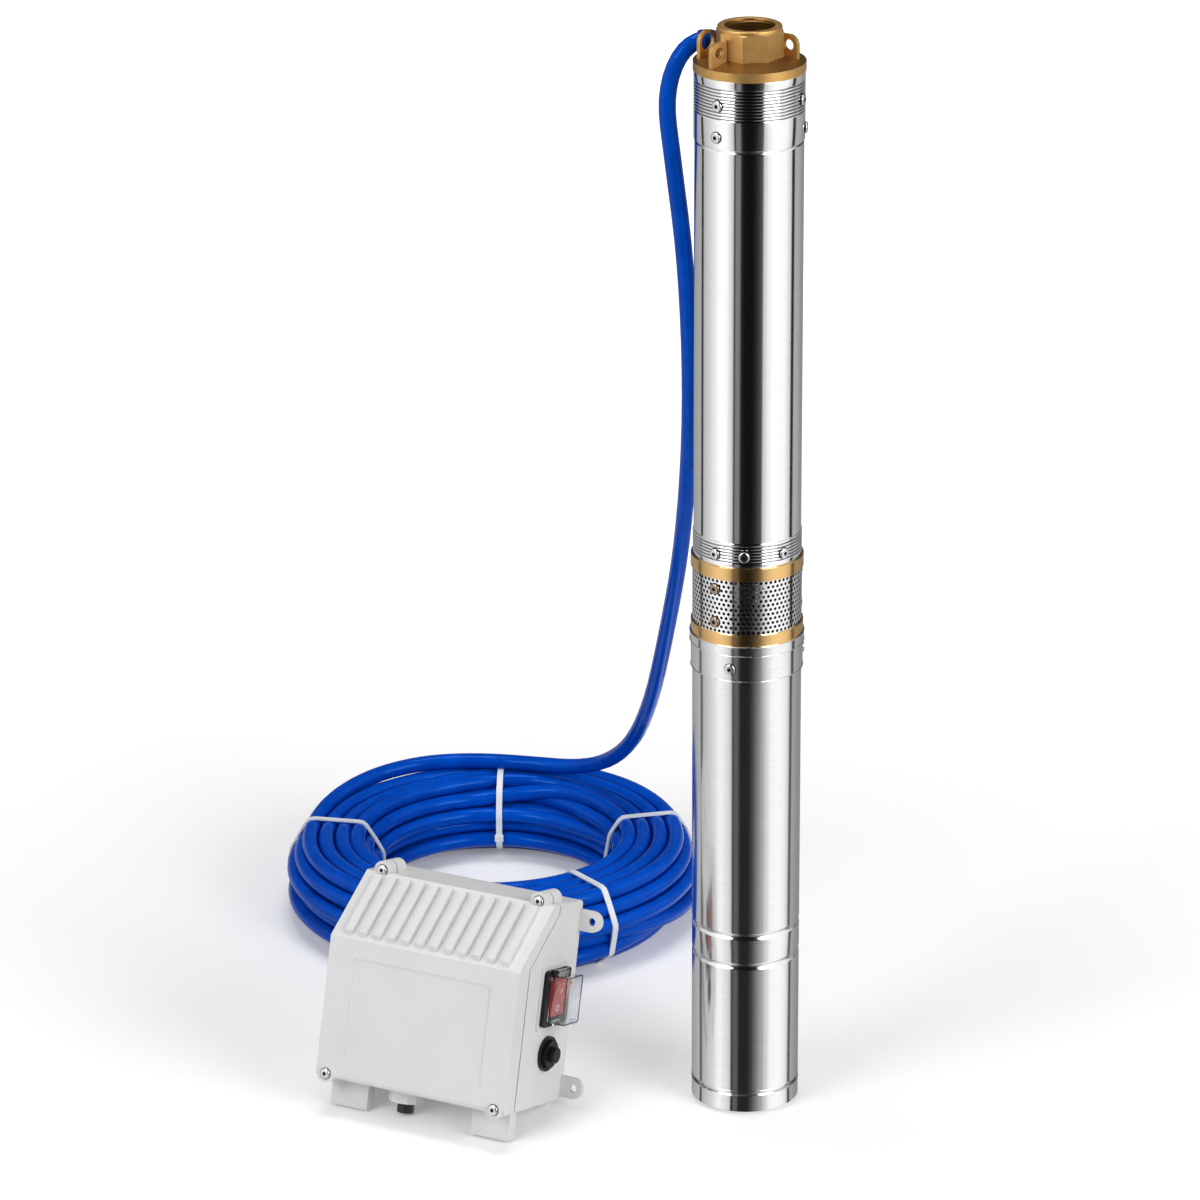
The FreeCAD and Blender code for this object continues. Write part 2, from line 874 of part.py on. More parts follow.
def bowl(index):
    body = new_body(f"bowl_{index + 1}")
    floor_bore = s.impeller_eye_radius + s.eye_ring + s.running_gap
    wall, pitch = s.bowl_bore_radius, s.stage_pitch
    revolve(
        body,
        (
            (floor_bore, 0),
            (pump_bore, 0),
            (pump_bore, pitch),
            (wall, pitch),
            (wall, s.bowl_floor),
            (floor_bore, s.bowl_floor),
        ),
    )
    low = s.diffuser_height
    plate = low + s.diffuser_plate
    outline = curved_blade(s.blade, s.sleeve_radius + s.vane_root, wall + s.vane_root, s.vane_bend)
    vane = extrude(body, "XY", low, pitch, outline)
    polar(body, vane, VANES)
    bore = s.sleeve_radius + s.running_gap
    hub = bore + s.hub_wall
    flare = s.hub_flare
    revolve(
        body,
        (
            (bore, low),
            (s.diffuser_radius, low),
            (s.diffuser_radius, plate),
            (hub + flare, plate, -flare),
            (hub, plate + flare),
            (hub, pitch),
            (bore, pitch),
        ),
    )
    lead_slot(body, -MARGIN, pitch + MARGIN)
    place(body, stack_z + pitch * index, lead_turn)


def discharge_bowl():
    body = new_body("discharge_bowl")
    bore = s.top_bush_radius
    hub = bore + s.discharge_hub_wall
    seat, wall = s.valve_seat_radius, s.valve_seat_radius + s.discharge_throat
    top = s.discharge_height
    revolve(
        body,
        (
            (wall, 0),
            (pump_bore, 0),
            (pump_bore, top),
            (s.valve_bore_radius, top),
            (s.valve_bore_radius, top + s.valve_seat_height),
            (seat, top + s.valve_seat_height),
            (seat, top - s.discharge_throat),
            (wall, top - s.discharge_cone),
        ),
    )
    middle, length = (hub + wall) / 2, wall - hub + 1
    arm = rectangle(middle, 0, length, s.discharge_web)
    polar(body, extrude(body, "XY", 0, s.discharge_hub, arm), ARMS)
    revolve(body, ring(bore, hub, 0, s.discharge_hub))
    lead_slot(body, -MARGIN, top + MARGIN)
    place(body, discharge_z, lead_turn)


def pump_shaft():
    top = discharge_z + s.discharge_hub
    shaft = s.pump_shaft_radius
    revolve(
        new_body("pump_shaft"),
        (
            (0, shaft_joint_z),
            (shaft, shaft_joint_z),
            (shaft, top),
            (shaft - s.valve_chamfer, top + s.valve_chamfer),
            (0, top + s.valve_chamfer),
        ),
    )
    nut_top = discharge_z + s.locknut_height
    revolve(new_body("shaft_locknut"), ring(shaft, s.locknut_radius, discharge_z, nut_top))
    bore = shaft + s.bush_gap
    revolve(new_body("top_bush"), ring(bore, s.top_bush_radius, top - s.top_bush_height, top))


# Casing


def pump_tube():
    body = new_body("pump_tube")
    band_top = pump_z + s.lower_band
    band_low = flange_z - s.upper_band
    seam = s.band_seam
    revolve(
        body,
        (
            (pump_bore, pump_z),
            (s.band_radius, pump_z),
            (s.band_radius, band_top),
            (s.pump_radius, band_top),
            (s.pump_radius, band_low - seam * 2),
            (s.pump_radius - seam, band_low - seam),
            (s.pump_radius - seam, band_low),
            (s.band_radius, band_low),
            (s.band_radius, flange_z),
            (pump_bore, flange_z),
        ),
    )


def octagon_points():
    corner = s.octagon_flats * (0.5 / math.cos(math.pi / 8))
    return polygon(0, 0, corner, 8, s.octagon_turn.value + 22.5)


def rope_ear(body, ear, inward):
    x, y, turn = ear
    half = s.ear_width / 2
    rise = s.ear_centre_height
    root = -s.flange_rise
    near, far = half * inward, -half * inward
    outline = (
        (far, root),
        (near, root),
        (near, rise + half),
        (0, rise + half, half * inward),
        (far, rise),
    )
    upright_plate(body, (x, y), turn, octagon_z, s.ear_thickness, outline)
    hole = (0, rise, s.ear_hole_radius)
    upright_plate(body, (x, y), turn, octagon_z, s.ear_thickness * 2, hole, cut=True)


def guide_ear(body):
    x, y, turn = GUIDE_EAR
    half = s.guide_ear_width / 2
    rise = s.guide_ear_centre_height
    outline = (
        (-half, -s.flange_rise),
        (half, -s.flange_rise),
        (half, rise, half),
        (0, rise + half, half),
        (-half, rise),
    )
    upright_plate(body, (x, y), turn, octagon_z, s.ear_thickness, outline)
    hole = (0, rise, s.guide_ear_hole_radius)
    upright_plate(body, (x, y), turn, octagon_z, s.ear_thickness * 2, hole, cut=True)


def discharge_head():
    body = new_body("discharge_head")
    neck = s.octagon_flats / 2 - s.octagon_inset
    corner = s.octagon_flats * (0.5 / math.cos(math.pi / 8)) + 1
    revolve(
        body,
        (
            (s.valve_bore_radius, spigot_z),
            (pump_bore, spigot_z),
            (pump_bore, flange_z),
            (s.flange_radius, flange_z),
            (s.flange_radius, octagon_z),
            (neck, octagon_z + s.flange_rise),
            (neck, rim_z),
            (s.rim_radius, rim_z),
            (s.rim_radius, top_z - s.rim_round, s.rim_round),
            (s.rim_radius - s.rim_round, top_z),
            (s.mouth_radius, top_z),
            (s.thread_radius, top_z - s.mouth_chamfer),
            (s.thread_radius, shoulder_z),
            (s.valve_bore_radius, shoulder_z),
        ),
    )
    core = (0, 0, s.valve_bore_radius + MARGIN)
    extrude(body, "XY", octagon_z - MARGIN, rim_z, octagon_points(), core)
    bevel = ((s.rim_radius, rim_z), (corner, rim_z - s.mouth_chamfer), (corner, rim_z))
    revolve(body, bevel, cut=True)
    rope_ear(body, ROPE_EAR_LEFT, 1)
    rope_ear(body, ROPE_EAR_RIGHT, -1)
    guide_ear(body)
    gland = (s.gland_x, s.gland_y, s.gland_radius)
    extrude(body, "XY", spigot_z - MARGIN, octagon_z + s.flange_rise, gland, cut=True)
    depth = pump_bore + s.lead_clearance - slot_inner
    slot_height = s.lead_bend + s.lead_slot_margin * 2
    slot = rectangle(slot_inner + depth / 2, s.lead_bend / 2, depth, slot_height)
    upright_plate(body, (0, 0), gland_azimuth, spigot_z, slot_width, slot, cut=True)


def valve():
    disc = new_body("check_valve_disc")
    low = seat_z + s.valve_lift_gap
    high = low + s.valve_disc_height
    outer, stem, bevel = s.valve_disc_radius, s.valve_stem_radius, s.valve_chamfer
    stem_top = shoulder_z - s.stem_drop
    revolve(
        disc,
        (
            (0, low),
            (outer, low),
            (outer, high - bevel),
            (outer - bevel, high),
            (stem, high),
            (stem, stem_top),
            (0, stem_top),
        ),
    )
    cage = new_body("valve_cage")
    low = shoulder_z - s.cage_height
    guide = stem + s.running_gap
    bore = s.valve_bore_radius
    revolve(cage, ring(bore - s.cage_ring, bore, low, shoulder_z))
    arm = rectangle((guide + bore) / 2, 0, bore - guide - s.cage_guide_wall, s.cage_ring)
    polar(cage, extrude(cage, "XY", low, shoulder_z, arm), ARMS)
    revolve(cage, ring(guide, guide + s.cage_guide_wall, low, shoulder_z))
    base, crown = high + s.spring_wire, low - s.spring_wire
    pitch = (crown - base) / SPRING_TURNS
    places = []
    for bend in range(SPRING_BENDS * SPRING_TURNS + 1):
        share = bend / SPRING_BENDS
        angle = 2 * math.pi * share
        across = s.spring_radius.value
        height = (base + pitch * share).value
        places.append(Vector(across * math.cos(angle), across * math.sin(angle), height))
    path = rounded_path(places)[0]
    section = Part.makeCircle(s.spring_wire.value, places[0], places[1] - places[0])
    add_feature("check_valve_spring", path.makePipeShell([Part.Wire(section)], True, False))


# Motor lead inside the casing: a flat strip bent to follow the slots, drawn on the +Y side.
def motor_lead():
    body = new_body("motor_lead")
    half = s.lead_thickness / 2
    out = s.lead_radius
    gland = root(s.gland_x * s.gland_x + s.gland_y * s.gland_y)
    bend_low = spigot_z
    bend_high = spigot_z + s.lead_bend
    outline = (
        (out - half, intake_z),
        (out + half, intake_z),
        (out + half, bend_low),
        (gland + half, bend_high),
        (gland + half, lead_top),
        (gland - half, lead_top),
        (gland - half, bend_high),
        (out - half, bend_low),
    )
    extrude(body, "YZ", -s.lead_width / 2, s.lead_width / 2, outline)
    place(body, 0, lead_turn)


# Cable: straight runs joined by tangent arcs, each as large as its two runs allow.


# Straight runs joined by arcs that touch both, each as large as its two runs allow
def rounded_path(places):
    edges, radii, arcs = [], [], []
    start = places[0]
    for before, corner, after in zip(places, places[1:], places[2:]):
        arriving, leaving = corner - before, after - corner
        reach = 0.45 * min(arriving.Length, leaving.Length)
        turn = arriving.getAngle(leaving)
        radius = reach / math.tan(turn / 2)
        arriving.normalize()
        leaving.normalize()
        first, last = corner - arriving * reach, corner + leaving * reach
        inward = (leaving - arriving).normalize()
        middle = corner + inward * (radius / math.cos(turn / 2) - radius)
        edges += [Part.LineSegment(start, first).toShape(), Part.Arc(first, middle, last).toShape()]
        radii.append(radius)
        arcs.append((first, middle, last))
        start = last
    edges.append(Part.LineSegment(start, places[-1]).toShape())
    return Part.Wire(edges), radii, arcs


def cable_path():
    return rounded_path([Vector(*point) for point in CABLE_ROUTE])


def drop_cable():
    path, radii, _ = cable_path()
    print("cable bend radii", [round(radius, 1) for radius in radii], "length", round(path.Length, 1))
    start = Vector(*CABLE_ROUTE[0])
    section = Part.Wire(Part.makeCircle(s.cable_radius.value, start, Vector(0, 0, 1)))
    tube = path.makePipeShell([section], True, False)
    expected = math.pi * s.cable_radius.value ** 2 * path.Length
    print("cable volume", round(tube.Volume / expected, 4))
    add_feature("drop_cable", tube)


def add_feature(label, shape):
    feature = doc.addObject("Part::Feature", label)
    feature.Label = label
    feature.Shape = shape
    nodes[label] = feature


# The gland sits in the flange. The boot grips the cable where it bends out over the rim.
def cable_entry():
    gland = new_body("cable_gland")
    centre = (s.gland_x, s.gland_y)
    rings = (*centre, s.gland_radius), (*centre, s.cable_radius)
    extrude(gland, "XY", flange_z, flange_z + s.gland_height, *rings)
    arcs = cable_path()[2]
    bend = Part.Arc(*arcs[0])
    last = arcs[0][2]
    sweep = bend.LastParameter - bend.FirstParameter
    begin = bend.value(bend.FirstParameter + sweep * BOOT_START)
    half_way = bend.value(bend.FirstParameter + sweep * (1 + BOOT_START) / 2)
    along = (Vector(*CABLE_ROUTE[2]) - last).normalize()
    run = Part.LineSegment(last, last + along * s.boot_length.value)
    path = Part.Wire([Part.Arc(begin, half_way, last).toShape(), run.toShape()])
    facing = path.Edges[0].tangentAt(path.Edges[0].FirstParameter)
    sleeves = []
    for radius in (s.cable_radius + s.boot_wall, s.cable_radius):
        section = Part.Wire(Part.makeCircle(radius.value, begin, facing))
        sleeves.append(path.makePipeShell([section], True, False))
    add_feature("cable_boot", sleeves[0].cut(sleeves[1]))


def coil_outline(growth):
    middle = (s.coil_bore_radius + s.coil_radius) / 2
    width = s.coil_radius - s.coil_bore_radius + growth * 2
    height = s.coil_height + growth * 2
    return rounded_rectangle(middle, s.coil_height / 2, width, height, s.coil_round + growth)


def cable_coil():
    body = new_body("cable_coil")
    revolve(body, coil_outline(as_size(0)))
    coil_place(body, 0)


def coil_place(body, turn):
    centre = Vector(s.coil_x.value, s.coil_y.value, s.tie_thickness.value)
    body.Placement = Placement(centre, Rotation(Vector(0, 0, 1), turn))
    for axis, size in (("x", s.coil_x), ("y", s.coil_y), ("z", s.tie_thickness)):
        body.setExpression(f"Placement.Base.{axis}", size.text)


# Each tie is a band round the whole section of the coil, with its lock on top.
def coil_ties():
    middle = (s.coil_bore_radius + s.coil_radius) / 2
    half, lock = s.tie_width / 2, s.tie_lock
    lock_height = s.tie_lock_rise + s.tie_lock_seat
    lock_z = s.coil_height + s.tie_thickness + s.tie_lock_rise - lock_height / 2
    ties = []
    for azimuth in TIES:
        body = doc.addObject("PartDesign::Body", "tie")
        extrude(body, "XZ", -half, half, coil_outline(s.tie_thickness), coil_outline(as_size(0)))
        extrude(body, "XZ", -lock / 2, lock / 2, rectangle(middle, lock_z, lock, lock_height))
        coil_place(body, azimuth)
        ties.append(body)
    compound("coil_ties", ties)


# Fasteners


def screw(name, seat, outward):
    rotation = Rotation(Vector(0, 0, 1), outward)
    head = doc.addObject("Part::Cone", name + "_head")
    head.setExpression("Radius1", s.screw_head_radius.text)
    head.setExpression("Radius2", s.screw_crown_radius.text)
    head.setExpression("Height", s.screw_head_height.text)
    head.Placement = Placement(seat, rotation)
    shank = doc.addObject("Part::Cylinder", name + "_shank")
    shank.setExpression("Radius", s.screw_shank_radius.text)
    shank.setExpression("Height", (s.screw_shank_length + s.screw_socket_floor / 2).text)
    shank.Placement = Placement(seat - outward * s.screw_shank_length.value, rotation)
    socket = doc.addObject("Part::Prism", name + "_socket")
    socket.Polygon = 6
    socket.setExpression("Circumradius", s.screw_socket.text)
    socket.setExpression("Height", s.screw_head_height.text)
    socket.Placement = Placement(seat + outward * s.screw_socket_floor.value, rotation)
    whole = doc.addObject("Part::Fuse", name + "_blank")
    whole.Base, whole.Tool = head, shank
    cut = doc.addObject("Part::Cut", name)
    cut.Base, cut.Tool = whole, socket
    return cut


def compound(label, items):
    group = doc.addObject("Part::Compound", label)
    group.Label = label
    group.Links = items
    nodes[label] = group


def radial_screws(label, radius, places):
    items = []
    for i, (azimuth, height) in enumerate(places):
        angle = math.radians(azimuth)
        outward = Vector(math.cos(angle), math.sin(angle), 0)
        seat = outward * (radius - s.screw_seat).value + Vector(0, 0, height.value)
        items.append(screw(f"{label}_{i + 1}", seat, outward))
    compound(label, items)


def casing_screws():
    head = [(azimuth, spigot_z + s.head_screw_height) for azimuth in HEAD_SCREWS]
    discharge = [(azimuth, spigot_z - s.discharge_screw_drop) for azimuth in DISCHARGE_SCREWS]
    radial_screws("head_screws", s.band_radius, head + discharge)
    height = pump_z + s.lower_band / 2
    radial_screws("intake_screws", s.band_radius, [(a, height) for a in INTAKE_SCREWS])
    heights = strainer_z + s.strainer_screw_inset, upper_ring_z - s.strainer_screw_inset
    places = [(azimuth, height) for azimuth in STRAINER_SCREWS for height in heights]
    radial_screws("strainer_screws", s.strainer_radius, places)
    height = collar_z + s.collar_skirt / 2
    radial_screws("collar_screws", s.collar_radius, [(a, height) for a in COLLAR_SCREWS])


# Control box, built in its own frame and then leaned back on its feet


front_y = -(s.housing_depth + s.cover_depth)
crest_y = -(s.housing_top_depth + s.cover_top_depth)
slope_run = crest_y - front_y
slope_fall = s.box_height - s.front_height
side_x = s.box_width / 2
bezel_x = side_x + s.surround_thickness
bezel_face = bezel_x + s.bezel_thickness
hinge_x = bezel_face + s.hinge_radius + s.hinge_gap
hinge_z = s.switch_z + s.flip_height / 2 + s.hinge_radius + s.hinge_gap
box_rise = s.rear_foot * cosine(s.box_lean) - s.rear_foot_inset * sine(s.box_lean)
front_foot = (box_rise + s.front_foot_near * sine(s.box_lean)) / cosine(s.box_lean)
stub_rear = -s.mains_y - s.mains_cord_radius
mains_end = (box_rise + stub_rear * sine(s.box_lean)) / cosine(s.box_lean)


def box_place(item, local=None):
    pose = Placement(
        Vector(s.box_x.value, s.box_y.value, box_rise.value),
        Rotation(Vector(0, 0, 1), -s.box_yaw.value) * Rotation(Vector(1, 0, 0), -s.box_lean.value),
    )
    item.Placement = pose * local if local else pose


def lug_outline(side, height):
    start = (side_x - MARGIN) * side
    middle = (side_x + s.lug_reach) * side
    half = s.lug_width / 2
    tip = (side_x + s.lug_reach + half) * side
    bend = half * side
    return (
        (start, height - half),
        (middle, height - half, bend),
        (tip, height, bend),
        (middle, height + half),
        (start, height + half),
    )


def box_housing():
    body = new_body("box_housing")
    depth, top_depth, wall = s.housing_depth, s.housing_top_depth, s.box_wall
    extrude(
        body,
        "YZ",
        -side_x,
        side_x,
        (
            (-s.corner_round, 0, s.corner_round),
            (0, s.corner_round),
            (0, s.box_height - s.corner_round, s.corner_round),
            (-s.corner_round, s.box_height),
            (-top_depth, s.box_height),
            (-top_depth, s.box_height - s.parting_step),
            (-depth, s.front_height),
            (-depth, 0),
        ),
    )
    surround = rounded_rectangle(
        s.switch_y, s.switch_z, s.surround_width, s.surround_height, s.bezel_round
    )
    extrude(body, "YZ", side_x - MARGIN, bezel_x, surround)
    extrude(
        body,
        "YZ",
        wall - side_x,
        side_x - wall,
        (
            (-depth - MARGIN, wall),
            (-wall, wall),
            (-wall, s.box_height - wall),
            (-depth - MARGIN, s.box_height - wall),
        ),
        cut=True,
    )
    for side in (-1, 1):
        for height in (s.lug_low, s.lug_high):
            extrude(body, "XZ", -s.lug_thickness, 0, lug_outline(side, height))
            hole = ((side_x + s.lug_reach) * side, height, s.lug_hole_radius)
            extrude(body, "XZ", -s.lug_thickness - MARGIN, MARGIN, hole, cut=True)
        top_boss = (s.top_boss_x * side, s.box_height - s.top_boss_drop, s.boss_radius)
        extrude(body, "XZ", -top_depth, s.boss_back - top_depth, top_boss)
        low_boss = (s.low_boss_x * side, s.low_boss_z, s.boss_radius)
        extrude(body, "XZ", -depth, s.boss_back - depth, low_boss)
        foot = rectangle(
            (side_x - s.rear_foot_width) * side,
            -s.rear_foot_inset - s.rear_foot_depth / 2,
            s.rear_foot_width,
            s.rear_foot_depth,
        )
        extrude(body, "XY", -s.rear_foot, MARGIN, foot)
        foot = rectangle(
            s.front_foot_x * side,
            -s.front_foot_near - s.front_foot_depth / 2,
            s.front_foot_width,
            s.front_foot_depth,
        )
        extrude(body, "XY", -front_foot, MARGIN, foot)
    opening = rectangle(s.switch_y, s.switch_z, s.switch_body_width, s.switch_body_height)
    extrude(body, "YZ", side_x - wall - MARGIN, bezel_x + MARGIN, opening, cut=True)
    reset = (s.reset_y, s.reset_z, s.reset_body_radius)
    extrude(body, "YZ", side_x - wall - MARGIN, side_x + MARGIN, reset, cut=True)
    mains = (s.mains_x, s.mains_y, s.mains_hole_radius)
    extrude(body, "XY", -MARGIN, wall + MARGIN, mains, cut=True)
    box_place(body)


def cover_fins(body):
    length = root(slope_run * slope_run + slope_fall * slope_fall)
    along_y, along_z = slope_run / length, slope_fall / length

    def on_slope(distance, rise):
        return (
            crest_y - distance * along_y - rise * along_z,
            s.box_height - distance * along_z + rise * along_y,
        )

    inset, height = s.fin_inset, s.fin_height
    first = -s.fin_spacing * (SIZES["fin_count"] - 1) / 2
    fin = extrude(
        body,
        "YZ",
        first - s.fin_width / 2,
        first + s.fin_width / 2,
        (
            on_slope(inset, -s.fin_root),
            on_slope(inset + height, height),
            on_slope(length - inset - height, height),
            on_slope(length - inset, -s.fin_root),
        ),
    )
    linear(body, fin, s.fin_spacing, SIZES["fin_count"])


def box_cover():
    body = new_body("box_cover")
    wall = s.box_wall
    parting_y = -s.housing_depth - s.gasket
    parting_top_y = -s.housing_top_depth - s.gasket
    extrude(
        body,
        "YZ",
        -side_x,
        side_x,
        (
            (parting_y, 0),
            (parting_y, s.front_height),
            (parting_top_y, s.box_height - s.parting_step),
            (parting_top_y, s.box_height),
            (crest_y, s.box_height),
            (front_y, s.front_height),
            (front_y, s.corner_round, s.corner_round),
            (front_y + s.corner_round, 0),
        ),
    )
    pitch = slope_fall / slope_run
    inset = wall * root(pitch * pitch + 1)
    extrude(
        body,
        "YZ",
        wall - side_x,
        side_x - wall,
        (
            (front_y + wall, wall),
            (0, wall),
            (0, s.box_height - wall),
            (crest_y + (inset - wall) / pitch, s.box_height - wall),
            (front_y + wall, s.front_height + wall * pitch - inset),
        ),
        cut=True,
    )
    for side in (-1, 1):
        top_boss = (s.top_boss_x * side, s.box_height - s.top_boss_drop, s.boss_radius)
        extrude(body, "XZ", crest_y - s.boss_rise, parting_top_y, top_boss)
        low_boss = (s.low_boss_x * side, s.low_boss_z, s.boss_radius)
        extrude(body, "XZ", front_y - s.boss_rise, parting_y, low_boss)
    cover_fins(body)
    panel = rectangle(0, s.panel_bottom + s.panel_height / 2, s.panel_width, s.panel_height)
    extrude(body, "XZ", front_y - MARGIN, front_y + s.panel_depth, panel, cut=True)
    box_place(body)


def cover_gasket():
    body = new_body("cover_gasket")
    inset = s.gasket_inset
    near, near_top = -s.housing_depth, -s.housing_top_depth
    extrude(
        body,
        "YZ",
        inset - side_x,
        side_x - inset,
        (
            (near, inset),
            (near, s.front_height),
            (near_top, s.box_height - s.parting_step),
            (near_top, s.box_height - inset),
            (near_top - s.gasket, s.box_height - inset),
            (near_top - s.gasket, s.box_height - s.parting_step),
            (near - s.gasket, s.front_height),
            (near - s.gasket, inset),
        ),
    )
    extrude(
        body,
        "YZ",
        s.box_wall - side_x,
        side_x - s.box_wall,
        (
            (near - s.gasket - MARGIN, s.box_wall),
            (0, s.box_wall),
            (0, s.box_height - s.box_wall),
            (near - s.gasket - MARGIN, s.box_height - s.box_wall),
        ),
        cut=True,
    )
    box_place(body)


def cover_screws():
    items = []
    outward = Vector(0, -1, 0)
    for side in (-1, 1):
        top = (s.top_boss_x * side, crest_y - s.boss_rise, s.box_height - s.top_boss_drop)
        low = (s.low_boss_x * side, front_y - s.boss_rise, s.low_boss_z)
        for place_name, seat in (("top", top), ("low", low)):
            point = Vector(*(size.value for size in seat))
            items.append(screw(f"cover_screw_{place_name}_{side}", point, outward))
    compound("cover_screws", items)
    box_place(nodes["cover_screws"])


def switch():
    body = new_body("switch_bezel")
    centre = (s.switch_y, s.switch_z)
    extrude(
        body,
        "YZ",
        bezel_x,
        bezel_face,
        rounded_rectangle(*centre, s.bezel_width, s.bezel_height, s.bezel_round),
    )
    extrude(
        body,
        "YZ",
        bezel_x - s.switch_body_depth,
        bezel_x,
        rectangle(*centre, s.switch_body_width, s.switch_body_height),
    )
    for side in (-1, 1):
        near = s.switch_y + (s.hinge_barrel / 2 + s.running_gap) * side
        far = near + s.hinge_ear * side
        low, high = (far, near) if side < 0 else (near, far)
        ear = (
            (bezel_x + MARGIN, hinge_z - s.hinge_radius),
            (hinge_x, hinge_z - s.hinge_radius, s.hinge_radius),
            (hinge_x + s.hinge_radius, hinge_z, s.hinge_radius),
            (hinge_x, hinge_z + s.hinge_radius),
            (bezel_x + MARGIN, hinge_z + s.hinge_radius),
        )
        extrude(body, "XZ", low, high, ear)
        pin_hole = (hinge_x, hinge_z, s.hinge_pin_radius + s.bush_gap)
        extrude(body, "XZ", low - MARGIN, high + MARGIN, pin_hole, cut=True)
    pocket = rectangle(
        *centre, s.rocker_width + s.rocker_gap * 2, s.rocker_height + s.rocker_gap * 2
    )
    floor = bezel_x - s.rocker_depth - s.pocket_floor
    extrude(body, "YZ", floor, bezel_face + MARGIN, pocket, cut=True)
    box_place(body)


def rocker():
    body = new_body("rocker")
    half, width = s.rocker_height / 2, s.rocker_width / 2
    rise = s.bezel_thickness + s.rocker_rise
    end = root(half * half - rise * rise)
    heel, depth = s.rocker_heel, s.rocker_depth
    outline = (
        (-depth, -heel),
        (0, -half, half),
        (rise, -end, -s.rocker_hollow),
        (rise, end, half),
        (0, half),
        (-depth, heel),
    )
    extrude(body, "XZ", -width, width, outline)
    pivot = Vector(bezel_x.value, s.switch_y.value, s.switch_z.value)
    box_place(body, Placement(pivot, Rotation(Vector(0, 1, 0), s.rocker_tilt.value)))


# The clear cover is a shallow box over the rocker, on a barrel hinge along its top edge.
def switch_flip_cover():
    body = new_body("switch_flip_cover")
    centre = (s.switch_y, s.switch_z)
    width, height, wall = s.flip_width, s.flip_height, s.flip_wall
    low = bezel_face + s.flip_gap
    shell = rounded_rectangle(*centre, width, height, s.flip_round)
    extrude(body, "YZ", low, low + s.flip_depth, shell)
    tab_z = s.switch_z - height / 2
    extrude(body, "YZ", low, low + wall * 2, rectangle(s.switch_y, tab_z, s.flip_tab * 2, s.flip_tab))
    half = s.hinge_barrel / 2
    left, right = s.switch_y - half, s.switch_y + half
    reach = s.hinge_radius + s.hinge_gap + wall
    tongue = rectangle(hinge_x, hinge_z - reach / 2, s.hinge_tongue, reach)
    extrude(body, "XZ", left, right, tongue)
    inside = rectangle(*centre, width - wall * 2, height - wall * 2)
    extrude(body, "YZ", low - MARGIN, low + s.flip_depth - wall, inside, cut=True)
    extrude(body, "XZ", left, right, (hinge_x, hinge_z, s.hinge_radius))
    pin = s.running_gap + s.hinge_ear
    extrude(body, "XZ", left - pin, right + pin, (hinge_x, hinge_z, s.hinge_pin_radius))
    box_place(body)


def reset_switch():
    centre = (s.reset_y, s.reset_z)
    body = new_body("reset_bezel")
    thick = s.reset_thickness
    extrude(body, "YZ", side_x, side_x + s.reset_flange, (*centre, s.reset_radius))
    extrude(body, "YZ", side_x, side_x + thick, (*centre, s.reset_nut_radius))
    extrude(body, "YZ", side_x - s.reset_body_depth, side_x, (*centre, s.reset_body_radius))
    bore = (*centre, s.button_radius + s.running_gap / 2)
    extrude(body, "YZ", side_x - s.button_depth, side_x + thick + MARGIN, bore, cut=True)
    box_place(body)
    button = new_body("reset_button")
    low = side_x - s.button_depth + s.button_travel + s.running_gap
    extrude(button, "YZ", low, side_x + thick + s.button_rise, (*centre, s.button_radius))
    box_place(button)


def mains_entry():
    body = new_body("mains_gland")
    centre = (s.mains_x, s.mains_y)
    nut_low = s.mains_flange + s.mains_nut
    lock_top = s.box_wall + s.mains_lock
    extrude(body, "XY", -s.mains_flange, 0, (*centre, s.mains_flange_radius))
    extrude(body, "XY", -nut_low, -s.mains_flange, polygon(*centre, s.mains_nut_radius, 12))
    extrude(body, "XY", 0, s.box_wall, (*centre, s.mains_hole_radius))
    extrude(body, "XY", s.box_wall, lock_top, polygon(*centre, s.mains_lock_radius, 6))
    bore = (*centre, s.mains_cord_radius)
    extrude(body, "XY", -nut_low - MARGIN, lock_top + MARGIN, bore, cut=True)
    box_place(body)
    stub = new_body("mains_stub")
    extrude(stub, "XY", -mains_end, s.mains_inside, (*centre, s.mains_cord_radius))
    box_place(stub)


def capacitor():
    body = new_body("capacitor")
    radius, half = s.capacitor_radius, s.capacitor_length / 2
    outline = (-s.box_wall - radius, s.box_wall + radius, radius)
    extrude(body, "YZ", s.capacitor_x - half, s.capacitor_x + half, outline)
    box_place(body)


# The block that joins the leads, screwed to the back wall above the capacitor
def terminal_block():
    body = new_body("terminal_block")
    width, height, depth = s.terminal_width, s.terminal_height, s.terminal_depth
    back = -s.box_wall
    outline = rectangle(s.capacitor_x, s.terminal_z, width, height)
    extrude(body, "XZ", back - depth, back, outline)
    first = s.capacitor_x - s.terminal_pitch * (TERMINALS - 1) / 2
    well = (first, s.terminal_z, s.terminal_hole)
    wells = extrude(body, "XZ", back - depth - MARGIN, back - depth / 2, well, cut=True)
    linear(body, wells, s.terminal_pitch, TERMINALS)
    box_place(body)


for build in (
    motor_foot,
    motor_tube,
    motor_collar,
    motor_bearings,
    motor_windings,
    motor_rotor,
    intake_bracket,
    strainer,
    shaft_coupling,
):
    build()
for stage in range(STAGES):
    impeller(stage)
    bowl(stage)
for build in (
    discharge_bowl,
    pump_shaft,
    pump_tube,
    discharge_head,
    valve,
    motor_lead,
    cable_entry,
    casing_screws,
    drop_cable,
    cable_coil,
    coil_ties,
    box_housing,
    box_cover,
    cover_gasket,
    cover_screws,
    switch,
    rocker,
    switch_flip_cover,
    reset_switch,
    mains_entry,
    capacitor,
    terminal_block,
):
    build()

